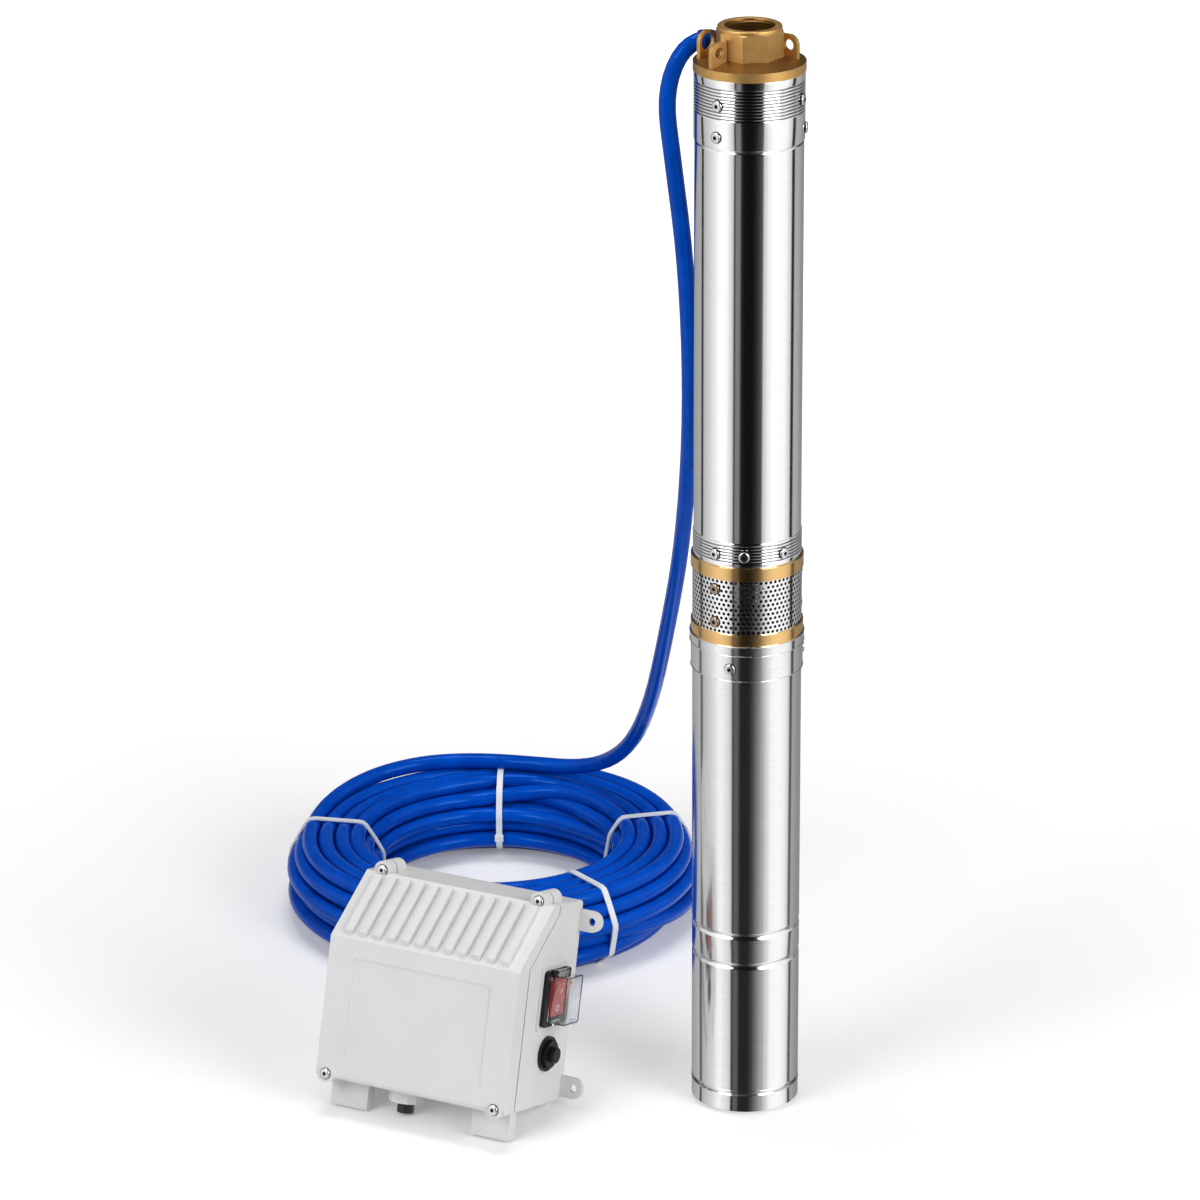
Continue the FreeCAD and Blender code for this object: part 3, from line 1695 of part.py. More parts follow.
doc.recompute()
faults = [item.Name for item in doc.Objects if {"Invalid", "Error"} & set(item.State)]
for label, node in nodes.items():
    if node.Shape.isNull() or not node.Shape.isValid() or not node.Shape.Solids:
        faults.append(label)
if faults:
    raise RuntimeError("failed: " + ", ".join(faults))

os.makedirs("parts", exist_ok=True)
for label, node in nodes.items():
    node.Shape.exportStep(f"parts/{label}.step")
print(len(nodes), "pieces written")
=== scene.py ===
import json
import math

import bmesh
import bpy
from mathutils import Matrix, Vector
from mathutils.geometry import convex_hull_2d


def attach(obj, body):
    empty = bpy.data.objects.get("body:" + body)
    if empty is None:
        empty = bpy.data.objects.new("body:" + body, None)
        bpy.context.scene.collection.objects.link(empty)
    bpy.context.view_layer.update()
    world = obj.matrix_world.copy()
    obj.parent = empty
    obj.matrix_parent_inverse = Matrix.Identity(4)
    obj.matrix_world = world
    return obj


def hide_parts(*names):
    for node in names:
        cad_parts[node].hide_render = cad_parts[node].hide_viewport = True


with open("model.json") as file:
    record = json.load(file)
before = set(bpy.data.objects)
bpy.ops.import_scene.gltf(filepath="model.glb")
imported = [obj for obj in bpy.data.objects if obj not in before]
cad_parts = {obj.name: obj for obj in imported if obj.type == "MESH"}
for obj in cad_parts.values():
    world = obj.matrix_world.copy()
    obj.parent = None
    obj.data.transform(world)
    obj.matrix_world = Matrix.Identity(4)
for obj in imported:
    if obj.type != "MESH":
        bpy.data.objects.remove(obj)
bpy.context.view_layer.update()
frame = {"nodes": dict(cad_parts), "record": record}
mm = 0.001  # sizes are written in millimetres, and the frame is in metres
weld = 0.002 * mm  # points that lie nearer than this are one point
print("frame:", len(frame["nodes"]), "CAD pieces")


def hexColour(text):  # sRGB hex to the linear value that a shader takes
    channels = [int(text[i : i + 2], 16) / 255 for i in (1, 3, 5)]
    return (*(c / 12.92 if c <= 0.04045 else ((c + 0.055) / 1.055) ** 2.4 for c in channels), 1.0)


def addNode(tree, kind, sockets=None, **settings):
    node = tree.nodes.new(kind)
    for name, value in settings.items():
        setattr(node, name, value)
    for name, value in (sockets or {}).items():
        if isinstance(value, bpy.types.NodeSocket):
            tree.links.new(value, node.inputs[name])
        else:
            node.inputs[name].default_value = value
    return node


def inScene(name, data):
    made = bpy.data.objects.new(name, data)
    bpy.context.scene.collection.objects.link(made)
    return made


# Camera: where the photograph was taken from, looking along +Y and down a little
camera = {
    "place": (-100.7, -3592.7, 1715.8),
    "pitch": 20.5,
    "roll": -0.28,
    "focalPixels": 5600.0,
    "imagePixels": 1200.0,
    "sensor": 36.0,
}
cameraData = bpy.data.cameras.new("studioCamera")
cameraData.sensor_width = camera["sensor"]
cameraData.lens = camera["focalPixels"] / camera["imagePixels"] * camera["sensor"]
cameraData.clip_end = 100.0
cameraObject = inScene("studioCamera", cameraData)
cameraObject.location = Vector(camera["place"]) * mm
cameraObject.rotation_euler = (Matrix.Rotation(math.radians(90.0 - camera["pitch"]), 3, "X")
                               @ Matrix.Rotation(math.radians(camera["roll"]), 3, "Z")).to_euler()
bpy.context.scene.camera = cameraObject
bpy.context.scene.view_settings.view_transform = "Standard"
print("camera set")


# Studio: a white sweep under soft boxes, with cards that only glossy surfaces see. The cards fan
# out from the pump over the floor and rise into a dome, so they stand on its tubes as upright
# bands. A stop is (azimuth from the camera's side, brightness).
nearBands = ((-180, 0.3), (-125, 0.5), (-115, 0.55), (-114, 0.03), (-108, 0.03), (-107, 0.5), (-80, 0.78),
             (-60, 1.1), (-42, 0.88), (-34, 0.72), (-32, 0.7), (-31, 0.004), (-28, 0.004), (-26, 0.12),
             (-19, 0.12), (-14, 0.02), (4, 0.02), (10, 0.05), (16, 0.12), (24, 0.25), (33, 0.42), (42, 0.72),
             (54, 1.1), (70, 1.18), (90, 1.05), (102, 0.75), (105, 0.04), (111, 0.04), (114, 0.45),
             (140, 0.3), (180, 0.3))
farBands = ((-180, 0.28), (-122, 0.45), (-117.5, 0.5), (-116.5, 0.006), (-109.5, 0.006), (-108.5, 0.52),
            (-88, 0.75), (-64, 1.15), (-48, 1.12), (-36, 0.72), (-32, 0.6), (-31, 0.004), (-28.5, 0.004),
            (-27, 0.24), (-19, 0.22), (-16, 0.02), (-10, 0.006), (8, 0.005), (16, 0.02), (28, 0.08),
            (29.5, 0.1), (31, 0.62), (42, 0.95), (54, 1.15), (80, 1.1), (94, 0.8), (100, 0.65),
            (101, 0.006), (110, 0.006), (111, 0.46), (125, 0.44), (142, 0.3), (180, 0.28))
highBands = ((-180, 0.05), (-128, 0.06), (-108, 0.8), (-64, 1.15), (-46, 1.1), (-32, 0.6), (-31, 0.006),
             (31, 0.006), (32, 0.6), (50, 1.15), (92, 1.1), (112, 0.7), (128, 0.06), (180, 0.05))
studio = {
    "floorSize": 24.0,
    "floorColour": "#ececec",
    "floorGlow": 0.18,
    "glowCentre": (-0.1, 0.1, 0.0),
    "farGlow": 0.85,
    "farStart": 0.35,
    "farEnd": 2.2,
    "worldColour": "#f7f7f7",
    "worldLevel": 0.24,
    "cameraAzimuth": -91.6,
    "tubeRadius": 0.037,
    "nearEnd": 1.0,
    "domeRadius": 9.0,
    "cardHeight": 0.0006,
    "azimuthStep": 10,
    "bandRises": (7.0, 30.0, 58.0),
    "topRises": (68.0, 80.0, 90.0),
    "topTone": 0.035,
    "lamps": (
        ("topLamp", (-0.2, 0.35, 3.3), 1.4, 38.0),
        ("leftLamp", (-2.6, -2.3, 2.4), 1.8, 62.0),
        ("rightLamp", (2.7, -2.5, 2.0), 2.2, 100.0),
    ),
    "target": (-0.12, 0.1, 0.25),
}


def seenByEye(tree):  # 1 for camera, glossy and transmission rays, 0 for what lights the object
    path = addNode(tree, "ShaderNodeLightPath")
    first = addNode(tree, "ShaderNodeMath", {0: path.outputs["Is Camera Ray"],
                    1: path.outputs["Is Glossy Ray"]}, operation="MAXIMUM")
    both = addNode(tree, "ShaderNodeMath", {0: first.outputs["Value"],
                   1: path.outputs["Is Transmission Ray"]}, operation="MAXIMUM")
    return both.outputs["Value"]


world = bpy.data.worlds.new("studioWorld")
world.use_nodes = True
bpy.context.scene.world = world
tree = world.node_tree
tree.nodes.clear()
light = addNode(tree, "ShaderNodeBackground", {"Color": hexColour(studio["worldColour"]),
                "Strength": studio["worldLevel"]})
white = addNode(tree, "ShaderNodeBackground", {"Color": (1.0, 1.0, 1.0, 1.0), "Strength": 1.0})
mixed = addNode(tree, "ShaderNodeMixShader",
                {"Fac": seenByEye(tree), 1: light.outputs[0], 2: white.outputs[0]})
addNode(tree, "ShaderNodeOutputWorld", {"Surface": mixed.outputs[0]})


def paperMaterial(colour, glow):  # matt white paper that the eye sees a little brighter
    material = bpy.data.materials.new("whitePaper")
    material.use_nodes = True
    tree = material.node_tree
    tree.nodes.clear()
    paper = addNode(tree, "ShaderNodeBsdfDiffuse", {"Color": hexColour(colour)})
    place = addNode(tree, "ShaderNodeTexCoord").outputs["Object"]
    reach = addNode(tree, "ShaderNodeVectorMath", {0: place, 1: studio["glowCentre"]}, operation="DISTANCE")
    fade = addNode(tree, "ShaderNodeMapRange", {"Value": reach.outputs["Value"],
                   "From Min": studio["farStart"], "From Max": studio["farEnd"],
                   "To Min": glow, "To Max": studio["farGlow"]})
    strength = addNode(tree, "ShaderNodeMath", {0: seenByEye(tree), 1: fade.outputs["Result"]},
                       operation="MULTIPLY")
    shine = addNode(tree, "ShaderNodeEmission", {"Strength": strength.outputs["Value"]})
    both = addNode(tree, "ShaderNodeAddShader", {0: paper.outputs[0], 1: shine.outputs[0]})
    addNode(tree, "ShaderNodeOutputMaterial", {"Surface": both.outputs[0]})
    return material


def cardMaterial():  # a card that keeps its tone whatever light falls on it
    material = bpy.data.materials.new("studioCard")
    material.use_nodes = True
    tree = material.node_tree
    tree.nodes.clear()
    tone = addNode(tree, "ShaderNodeAttribute", attribute_name="tone")
    shine = addNode(tree, "ShaderNodeEmission", {"Strength": tone.outputs["Fac"]})
    addNode(tree, "ShaderNodeOutputMaterial", {"Surface": shine.outputs[0]})
    return material


def bandTone(stops, azimuth):  # the tone between two stops
    for (low, first), (high, second) in zip(stops, stops[1:]):
        if low <= azimuth <= high:
            return first + (second - first) * (azimuth - low) / (high - low)
    return stops[-1][1]


def stagePiece(name, corners, faces, material):  # seen by the lights and the camera, not exported
    mesh = bpy.data.meshes.new(name)
    mesh.from_pydata(corners, [], faces)
    mesh.materials.append(material)
    piece = inScene(name, mesh)
    return piece


half = studio["floorSize"] / 2
stagePiece("floor", [(-half, -half, 0), (half, -half, 0), (half, half, 0), (-half, half, 0)], [(0, 1, 2, 3)],
           paperMaterial(studio["floorColour"], studio["floorGlow"]))
azimuths = sorted({float(a) for a, _ in nearBands + farBands + highBands}
                  | {float(a) for a in range(-180, 181, studio["azimuthStep"])})
rows = [(nearBands, 0.0, 0.0), (nearBands, studio["nearEnd"], 0.0), (farBands, studio["nearEnd"], 0.0),
        (farBands, studio["domeRadius"], 0.0)]
rows += [(highBands, studio["domeRadius"], rise) for rise in studio["bandRises"]]
rows += [(None, studio["domeRadius"], rise) for rise in studio["topRises"]]
corners, tones = [], []
for stops, reach, rise in rows:
    for azimuth in azimuths:  # a ray mirrored by the tube at half this azimuth leaves it this way
        normal = math.radians(studio["cameraAzimuth"] + azimuth / 2)
        away = math.radians(studio["cameraAzimuth"] + azimuth)
        start = Vector((math.cos(normal), math.sin(normal), 0.0)) * studio["tubeRadius"]
        level = reach * math.cos(math.radians(rise))
        lift = reach * math.sin(math.radians(rise)) + studio["cardHeight"]
        corners.append(start + Vector((math.cos(away) * level, math.sin(away) * level, lift)))
        tones.append(bandTone(stops, azimuth) if stops else studio["topTone"])
wide = len(azimuths)
samePlace = 1  # this row and the next stand in one place with other tones, so no face joins them
faces = [(row * wide + k, row * wide + k + 1, (row + 1) * wide + k + 1, (row + 1) * wide + k)
         for row in range(len(rows) - 1) if row != samePlace for k in range(wide - 1)]
cards = stagePiece("studioCards", corners, faces, cardMaterial())
tone = cards.data.attributes.new("tone", "FLOAT", "POINT")
for index, value in enumerate(tones):
    tone.data[index].value = value
cards.visible_camera = cards.visible_diffuse = cards.visible_shadow = cards.visible_transmission = False

for name, place, size, power in studio["lamps"]:
    lamp = bpy.data.lights.new(name, "AREA")
    lamp.size = size
    lamp.energy = power
    holder = inScene(name, lamp)
    holder.location = place
    holder.rotation_euler = (Vector(studio["target"]) - Vector(place)).to_track_quat("-Z", "Y").to_euler()
print("studio lit")


# Finishes. Sizes are millimetres on the object, and each pattern is drawn from Object coordinates:
# a fine grain, a broad drift of tone, a relief from the grain, and marked faces in a shade of
# their own. Real buffing lines and mould grain are finer than 0.1 mm, and are drawn coarser to show.
noise = {"detail": 3.0, "roughness": 0.6, "tintSpan": (0.35, 0.65), "glossSpan": (0.3, 0.7),
         "driftDetail": 2.0, "driftSpan": (0.4, 0.7)}


def grainFinish(name, look):
    material = bpy.data.materials.new(name)
    material.use_nodes = True
    tree = material.node_tree
    shader = tree.nodes["Principled BSDF"]
    for socket, value in look.get("sockets", {}).items():
        shader.inputs[socket].default_value = value
    place = addNode(tree, "ShaderNodeTexCoord").outputs["Object"]
    streak = addNode(tree, "ShaderNodeMapping",
                     {"Vector": place, "Scale": look.get("stretch", (1.0, 1.0, 1.0))})
    grain = addNode(tree, "ShaderNodeTexNoise", {"Vector": streak.outputs["Vector"],
                    "Scale": 1.0 / (look["grain"] * mm), "Detail": noise["detail"],
                    "Roughness": noise["roughness"]})
    tint = addNode(tree, "ShaderNodeValToRGB", {"Fac": grain.outputs["Fac"]})
    for stop, position, colour in zip(tint.color_ramp.elements, noise["tintSpan"], look["colours"]):
        stop.position, stop.color = position, hexColour(colour)
    shades = []
    if "drift" in look:  # handling, casting or moulding leaves broad, faint patches
        size, shade, amount = look["drift"]
        broad = addNode(tree, "ShaderNodeTexNoise", {"Vector": place, "Scale": 1.0 / (size * mm),
                        "Detail": noise["driftDetail"]})
        reach = addNode(tree, "ShaderNodeMapRange", {"Value": broad.outputs["Fac"], "To Max": amount,
                        "From Min": noise["driftSpan"][0], "From Max": noise["driftSpan"][1]})
        shades.append((reach.outputs["Result"], shade))
    # paler on the rounds, partly rubbed wear and partly a painted highlight; darker on the flange top, a
    # painted dark reflection; darker down in the thread lines, painted shade
    for key, marked in (("edge", "onRound"), ("topShade", "flangeTopShade"), ("grooveShade", "inGroove")):
        if key in look:
            shade, amount = look[key]
            where = addNode(tree, "ShaderNodeAttribute", attribute_name=marked)
            share = addNode(tree, "ShaderNodeMath", {0: where.outputs["Fac"], 1: amount},
                            operation="MULTIPLY")
            shades.append((share.outputs["Value"], shade))
    if "inside" in look:  # painted shade: darker nearer the pump's axis than the given radius, in the bore and the intake
        radius, shade = look["inside"]
        flat = addNode(tree, "ShaderNodeVectorMath", {0: place, 1: (1.0, 1.0, 0.0)}, operation="MULTIPLY")
        reach = addNode(tree, "ShaderNodeVectorMath", {0: flat.outputs["Vector"]}, operation="LENGTH")
        inner = addNode(tree, "ShaderNodeMath", {0: reach.outputs["Value"], 1: radius * mm},
                        operation="LESS_THAN")
        shades.append((inner.outputs["Value"], shade))
    colour = tint.outputs["Color"]
    for factor, shade in shades:
        mixed = addNode(tree, "ShaderNodeMix", {0: factor, 6: colour, 7: hexColour(shade)}, data_type="RGBA")
        colour = mixed.outputs[2]
    tree.links.new(colour, shader.inputs["Base Color"])
    gloss = addNode(tree, "ShaderNodeMapRange", {"Value": grain.outputs["Fac"],
                    "From Min": noise["glossSpan"][0], "From Max": noise["glossSpan"][1],
                    "To Min": look["roughness"][0], "To Max": look["roughness"][1]})
    tree.links.new(gloss.outputs["Result"], shader.inputs["Roughness"])
    if "bump" in look:
        relief = addNode(tree, "ShaderNodeBump", {"Height": grain.outputs["Fac"], "Strength": 1.0,
                         "Distance": look["bump"] * mm})
        tree.links.new(relief.outputs["Normal"], shader.inputs["Normal"])
    if look.get("turned"):
        around = addNode(tree, "ShaderNodeTangent", direction_type="RADIAL", axis="Z")
        tree.links.new(around.outputs["Tangent"], shader.inputs["Tangent"])
    return material


metal = {"Metallic": 1.0}
girth = (0.03, 0.03, 1.0)  # grain drawn out round the girth, as a belt or a lathe tool leaves it
finishes = {
    # drawn stainless tube, belt-buffed round its girth: a mirror whose images smear up and down
    "polishedStainless": {"colours": ("#eeeeef", "#f1f1f2"), "roughness": (0.13, 0.145), "grain": 0.6,
                          # darker down in the thread grooves: painted shade
                          "grooveShade": ("#85878a", 1.0), "stretch": girth, "turned": True,
                          "sockets": {**metal, "Anisotropic": 0.8, "Anisotropic Rotation": 0.25}},
    # the motor's shell has a coarser buff, so its bands are softer and greyer
    "buffedStainless": {"colours": ("#e6e6e6", "#ebebec"), "roughness": (0.15, 0.165), "grain": 0.8,
                        "stretch": girth, "turned": True,
                        "sockets": {**metal, "Anisotropic": 0.75, "Anisotropic Rotation": 0.25}},
    # cold-headed A2 screws, tumbled bright: small sharp lights all round
    "steelFastener": {"colours": ("#c9cacc", "#dddddf"), "roughness": (0.16, 0.26), "grain": 0.5,
                      "sockets": metal},
    # centreless-ground stainless bar: bright, with faint lines round it
    "groundShaft": {"colours": ("#b7b8ba", "#c8c9cb"), "roughness": (0.14, 0.24), "grain": 0.5,
                    "stretch": girth, "sockets": metal},
    # sand-cast brass, bead blasted: a fine matt skin, warm gold; paler rounds partly rubbed and partly a
    # painted highlight, a darker flange top as a painted dark reflection, a darker bore as painted shade
    "castBrass": {"colours": ("#c89a58", "#d6ab68"), "roughness": (0.34, 0.42), "grain": 0.5, "bump": 0.05,
                  "drift": (9.0, "#b7894b", 0.5), "edge": ("#f6d698", 0.8), "topShade": ("#6b4a1e", 0.85),
                  "inside": (16.9, "#6e4d22"), "sockets": {"Metallic": 0.8}},
    # lathe-turned brass: the same metal with fine rings and sharper lights
    "turnedBrass": {"colours": ("#e3b877", "#e9c084"), "roughness": (0.2, 0.23), "grain": 0.5,
                    # near black inside the intake: painted shade
                    "stretch": girth, "turned": True, "inside": (37.1, "#141110"),
                    "sockets": {**metal, "Anisotropic": 0.4, "Anisotropic Rotation": 0.25}},
    # nickel-brass screws of the strainer, tarnished brown
    "tarnishedBrass": {"colours": ("#9a8672", "#b09c86"), "roughness": (0.2, 0.3), "grain": 0.5,
                       "sockets": metal},
    # glass-filled PPO of the pump stages, injection moulded: dull dark grey
    "mouldedNoryl": {"colours": ("#24262a", "#30333a"), "roughness": (0.4, 0.55), "grain": 0.8, "bump": 0.02},
    # grey iron bearing housings, as cast and painted thinly
    "bearingIron": {"colours": ("#55585d", "#6a6d72"), "roughness": (0.4, 0.55), "grain": 0.6, "bump": 0.04,
                    "sockets": metal},
    # lapped carbon: black with a pencil-lead sheen
    "lappedCarbon": {"colours": ("#1a1b1e", "#26272a"), "roughness": (0.25, 0.35), "grain": 0.3},
    # stacked 0.5 mm sheets show as fine rings round the core
    "laminatedSteel": {"colours": ("#6f7277", "#96999e"), "roughness": (0.35, 0.5), "grain": 0.5,
                       "stretch": (0.02, 0.02, 1.0), "sockets": metal},
    # lacquered winding wire, 0.8 mm: amber lights over red copper
    "copperWinding": {"colours": ("#8d4a22", "#b5683a"), "roughness": (0.3, 0.4), "grain": 0.8, "bump": 0.15,
                      "sockets": metal},
    # moulded nitrile seals and gasket: flat black
    "nitrileRubber": {"colours": ("#141517", "#1f2023"), "roughness": (0.5, 0.65), "grain": 0.7,
                      "bump": 0.02},
    # extruded PVC jacket, royal blue and glossy, with the faint waves that the die leaves
    "cableJacket": {"colours": ("#0046b4", "#004ec4"), "roughness": (0.13, 0.16), "grain": 14.0,
                    "drift": (60.0, "#0040a8", 0.6),
                    "sockets": {"Specular IOR Level": 0.22, "Specular Tint": (0.15, 0.5, 1.0, 1.0)}},
    # moulded PVC boot, navy
    "bootRubber": {"colours": ("#02286e", "#033084"), "roughness": (0.16, 0.2), "grain": 2.0,
                   "sockets": {"Specular IOR Level": 0.6, "Specular Tint": (0.3, 0.6, 1.0, 1.0)}},
    # nylon 6.6 ties: milky white with a soft sheen
    "tieNylon": {"colours": ("#e6e5e6", "#efeeee"), "roughness": (0.35, 0.45), "grain": 0.8,
                 "sockets": {"Subsurface Weight": 0.15}},
    # injection-moulded ABS, light grey, fine spark-eroded texture
    "mouldedAbs": {"colours": ("#d7d7d7", "#dbdbdb"), "roughness": (0.36, 0.46), "grain": 0.6, "bump": 0.008,
                   # paler on the rounds: partly rubbed wear, partly a painted highlight
                   "drift": (38.0, "#d4d4d4", 0.7), "edge": ("#ececec", 0.7)},
    # black nylon 66 switch parts, smooth moulded
    "blackNylon": {"colours": ("#0b0b0c", "#111213"), "roughness": (0.28, 0.36), "grain": 0.8, "bump": 0.006,
                   "sockets": {"Specular IOR Level": 0.3}},
    # red polycarbonate rocker, glossy and slightly translucent
    "redPolycarbonate": {"colours": ("#c03a34", "#cb453d"), "roughness": (0.15, 0.22), "grain": 3.0,
                         "sockets": {"Subsurface Weight": 0.1}},
    # pad-printed paint of the rocker's marks: a thin, matt off-white that the red warms
    "markPaint": {"colours": ("#e9cfcc", "#f2dedb"), "roughness": (0.4, 0.5), "grain": 0.6},
    # screwed nylon gland, moulded: whiter than the box and a little softer
    "whiteNylon": {"colours": ("#dedede", "#e6e6e6"), "roughness": (0.33, 0.43), "grain": 0.6, "bump": 0.008},
    # extruded rubber mains lead: matt, not quite black
    "leadRubber": {"colours": ("#101112", "#191a1b"), "roughness": (0.38, 0.5), "grain": 0.8, "bump": 0.01},
    # drawn plastic can of the run capacitor: pale grey with a soft sheen
    "capacitorShell": {"colours": ("#c9cac6", "#d6d7d3"), "roughness": (0.35, 0.45), "grain": 0.8},
    # moulded nylon terminal block: cream, slightly dull
    "terminalNylon": {"colours": ("#dcd8c9", "#e7e3d5"), "roughness": (0.4, 0.5), "grain": 0.6},
    # painted shade: the socket and a ring under each screw's head, near black
    "paintedShadeSteel": {"colours": ("#0c0c0d", "#161617"), "roughness": (0.45, 0.55), "grain": 0.4},
}
looks = {name: grainFinish(name, look) for name, look in finishes.items()}
# moulded clear polycarbonate: seen through, with a faint ripple in what it shows
clear = {"ripple": 6.0, "rippleDepth": 0.02,
         "sockets": {"Base Color": hexColour("#f4f7f8"), "Roughness": 0.04, "IOR": 1.585,
                     "Transmission Weight": 1.0, "Specular IOR Level": 0.2}}
material = bpy.data.materials.new("clearPolycarbonate")
material.use_nodes = True
tree = material.node_tree
shader = tree.nodes["Principled BSDF"]
for socket, value in clear["sockets"].items():
    shader.inputs[socket].default_value = value
place = addNode(tree, "ShaderNodeTexCoord").outputs["Object"]
ripple = addNode(tree, "ShaderNodeTexNoise", {"Vector": place, "Scale": 1.0 / (clear["ripple"] * mm)})
relief = addNode(tree, "ShaderNodeBump",
                 {"Height": ripple.outputs["Fac"], "Distance": clear["rippleDepth"] * mm})
tree.links.new(relief.outputs["Normal"], shader.inputs["Normal"])
looks["clearPolycarbonate"] = material
print("finishes:", len(looks))


def newPiece(name, mesh, look, body, slotName, *nodes):
    piece = inScene(name, mesh)
    if look:
        mesh.materials.clear()
        mesh.materials.append(looks[look])
    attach(piece, body)
    if nodes:
        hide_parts(*nodes)
    return piece


def smoothed(mesh, sharpDegrees):
    mesh.shade_smooth()
    mesh.set_sharp_from_angle(angle=math.radians(sharpDegrees))
    return mesh


def joinRings(made, rings):  # quads from each ring of vertices to the next
    for low, high in zip(rings, rings[1:]):
        for k in range(len(low)):
            n = (k + 1) % len(low)
            made.faces.new((low[k], low[n], high[n], high[k]))


def turnedOut(made, mesh):  # the built faces, all facing outwards, into a mesh
    bmesh.ops.recalc_face_normals(made, faces=made.faces)
    made.to_mesh(mesh)
    made.free()
    return mesh


# A tree with named inputs; its modifier is turned into a plain mesh before any frame call
def newTree(name, inputs):
    tree = bpy.data.node_groups.new(name, "GeometryNodeTree")
    tree.interface.new_socket(name="Geometry", in_out="INPUT", socket_type="NodeSocketGeometry")
    for label, kind in inputs.items():
        tree.interface.new_socket(name=label, in_out="INPUT", socket_type="NodeSocket" + kind)
    tree.interface.new_socket(name="Geometry", in_out="OUTPUT", socket_type="NodeSocketGeometry")
    return tree, addNode(tree, "NodeGroupInput").outputs


def endTree(tree, geometry, finish):
    real = addNode(tree, "GeometryNodeRealizeInstances", {"Geometry": geometry})
    dressed = addNode(tree, "GeometryNodeSetMaterial", {"Geometry": real.outputs[0], "Material": finish})
    addNode(tree, "NodeGroupOutput", {"Geometry": dressed.outputs[0]})


def grownMesh(tree, seed, values):
    holder = inScene("seed", seed)
    modifier = holder.modifiers.new(tree.name, "NODES")
    modifier.node_group = tree
    for item in tree.interface.items_tree:
        if item.in_out == "INPUT" and item.name in values:
            modifier[item.identifier] = values[item.name]
    depsgraph = bpy.context.evaluated_depsgraph_get()
    mesh = bpy.data.meshes.new_from_object(holder.evaluated_get(depsgraph))
    holder.modifiers.remove(modifier)
    bpy.data.objects.remove(holder)
    return mesh


# Cable: one spline from the gland to the last turn of the coil. Slots are places in the
# coil's section, from the top row down; a turn moves to the next slot where it crosses over.
cable = {
    "diameter": 11.8,
    "route": ((-16.9, 23.7, 738.3), (-16.9, 23.7, 762.8), (-42.5, 13.0, 762.2), (-56.4, 14.5, 728.0),
              (-50.6, 17.5, 680.0), (-40.9, 26.5, 600.0), (-37.2, 54.0, 490.0), (-41.5, 124.0, 372.0),
              (-52.0, 215.0, 268.0), (-64.0, 310.0, 168.0), (-82.0, 382.0, 104.5), (-112.0, 428.0, 73.2),
              (-160.0, 450.0, 69.1)),
    "coilCentre": (-182.8, 332.0),
    "coilMiddle": 120.75,
    "rows": ((57.3, 4), (47.3, 5), (37.2, 6), (27.2, 5), (17.1, 6), (7.1, 3)),
    "pitch": 11.9,
    "pointsPerTurn": 20,
    "startAzimuth": 79.0,
    "crossing": 0.09,  # shares of a turn
    "rowDelay": 0.1,
    "climbDelay": 0.05,
    "arrival": 0.2,
    "landing": (0.08, 0.2),
    "arrivalShift": 0.55,
    "looseness": 0.07,
    "fullSlack": 134.0,  # degrees between two ties at which the turns are loosest
    "sway": (22.0, 2.4, 0.6),  # millimetres, and what makes one turn's slack unlike the next
    "heave": (20.0, 1.7, 1.1),
    "overFloor": 0.6,
    "length": 23.0,
    "ties": (-54.0, 12.0, 88.0, 172.0),
}


def easeIn(share):  # 0 to 1 with a slow start and end
    share = min(max(share, 0.0), 1.0)
    return share * share * (3.0 - 2.0 * share)


def coilSlots():  # the slots in the order of the turns, and how early the cable moves on from each
    slots, moves = [], []
    for row, (height, count) in enumerate(cable["rows"]):
        across = [(i - (count - 1) / 2) * cable["pitch"] for i in range(count)]
        for offset in across if row % 2 else reversed(across):
            slots.append((offset, height))
            moves.append(-cable["rowDelay"] * row)
        moves[-1] -= cable["climbDelay"]  # the climb down to the next row comes after that row has moved
    return slots, moves


def slackAt(azimuth):  # 0 at a tie, 1 half way between two ties that stand far apart
    ties = sorted(tie % 360.0 for tie in cable["ties"])
    for low, high in zip(ties, ties[1:] + [ties[0] + 360.0]):
        for turn in (azimuth % 360.0, azimuth % 360.0 + 360.0):
            if low <= turn <= high:
                return math.sin(math.pi * (turn - low) / (high - low)) * (high - low) / cable["fullSlack"]
    return 0.0


def coilPoints():
    slots, moves = coilSlots()
    steps = cable["pointsPerTurn"]
    correction = 1.0 / math.cos(math.pi / steps)  # the spline runs inside its control points
    landStart, landTurn = cable["landing"]
    points = []
    for step in range(1, len(slots) * steps - 2):
        turns = step / steps
        offset, height = slots[0]
        for index in range(len(slots) - 1):
            share = easeIn((turns - index - 1 - moves[index]) / cable["crossing"])
            offset += share * (slots[index + 1][0] - slots[index][0])
            height += share * (slots[index + 1][1] - slots[index][1])
        azimuth = cable["startAzimuth"] + turns * 360.0
        arrival = easeIn(turns / cable["arrival"])
        offset = offset * arrival - cable["arrivalShift"] * (1.0 - arrival)
        height += cable["diameter"] * (1.0 - easeIn((turns - landStart) / landTurn))
        lap = math.floor(turns)
        slack = slackAt(azimuth) * cable["looseness"]
        offset *= 1.0 + slack
        sway, heave = (size * slack * math.sin(lap * pace + phase)
                       for size, pace, phase in (cable["sway"], cable["heave"]))
        offset += sway
        height = max(height + heave, cable["diameter"] / 2 + cable["overFloor"])
        radius = (cable["coilMiddle"] + offset) * correction
        angle = math.radians(azimuth)
        points.append((cable["coilCentre"][0] + radius * math.cos(angle),
                       cable["coilCentre"][1] + radius * math.sin(angle), height))
    return points


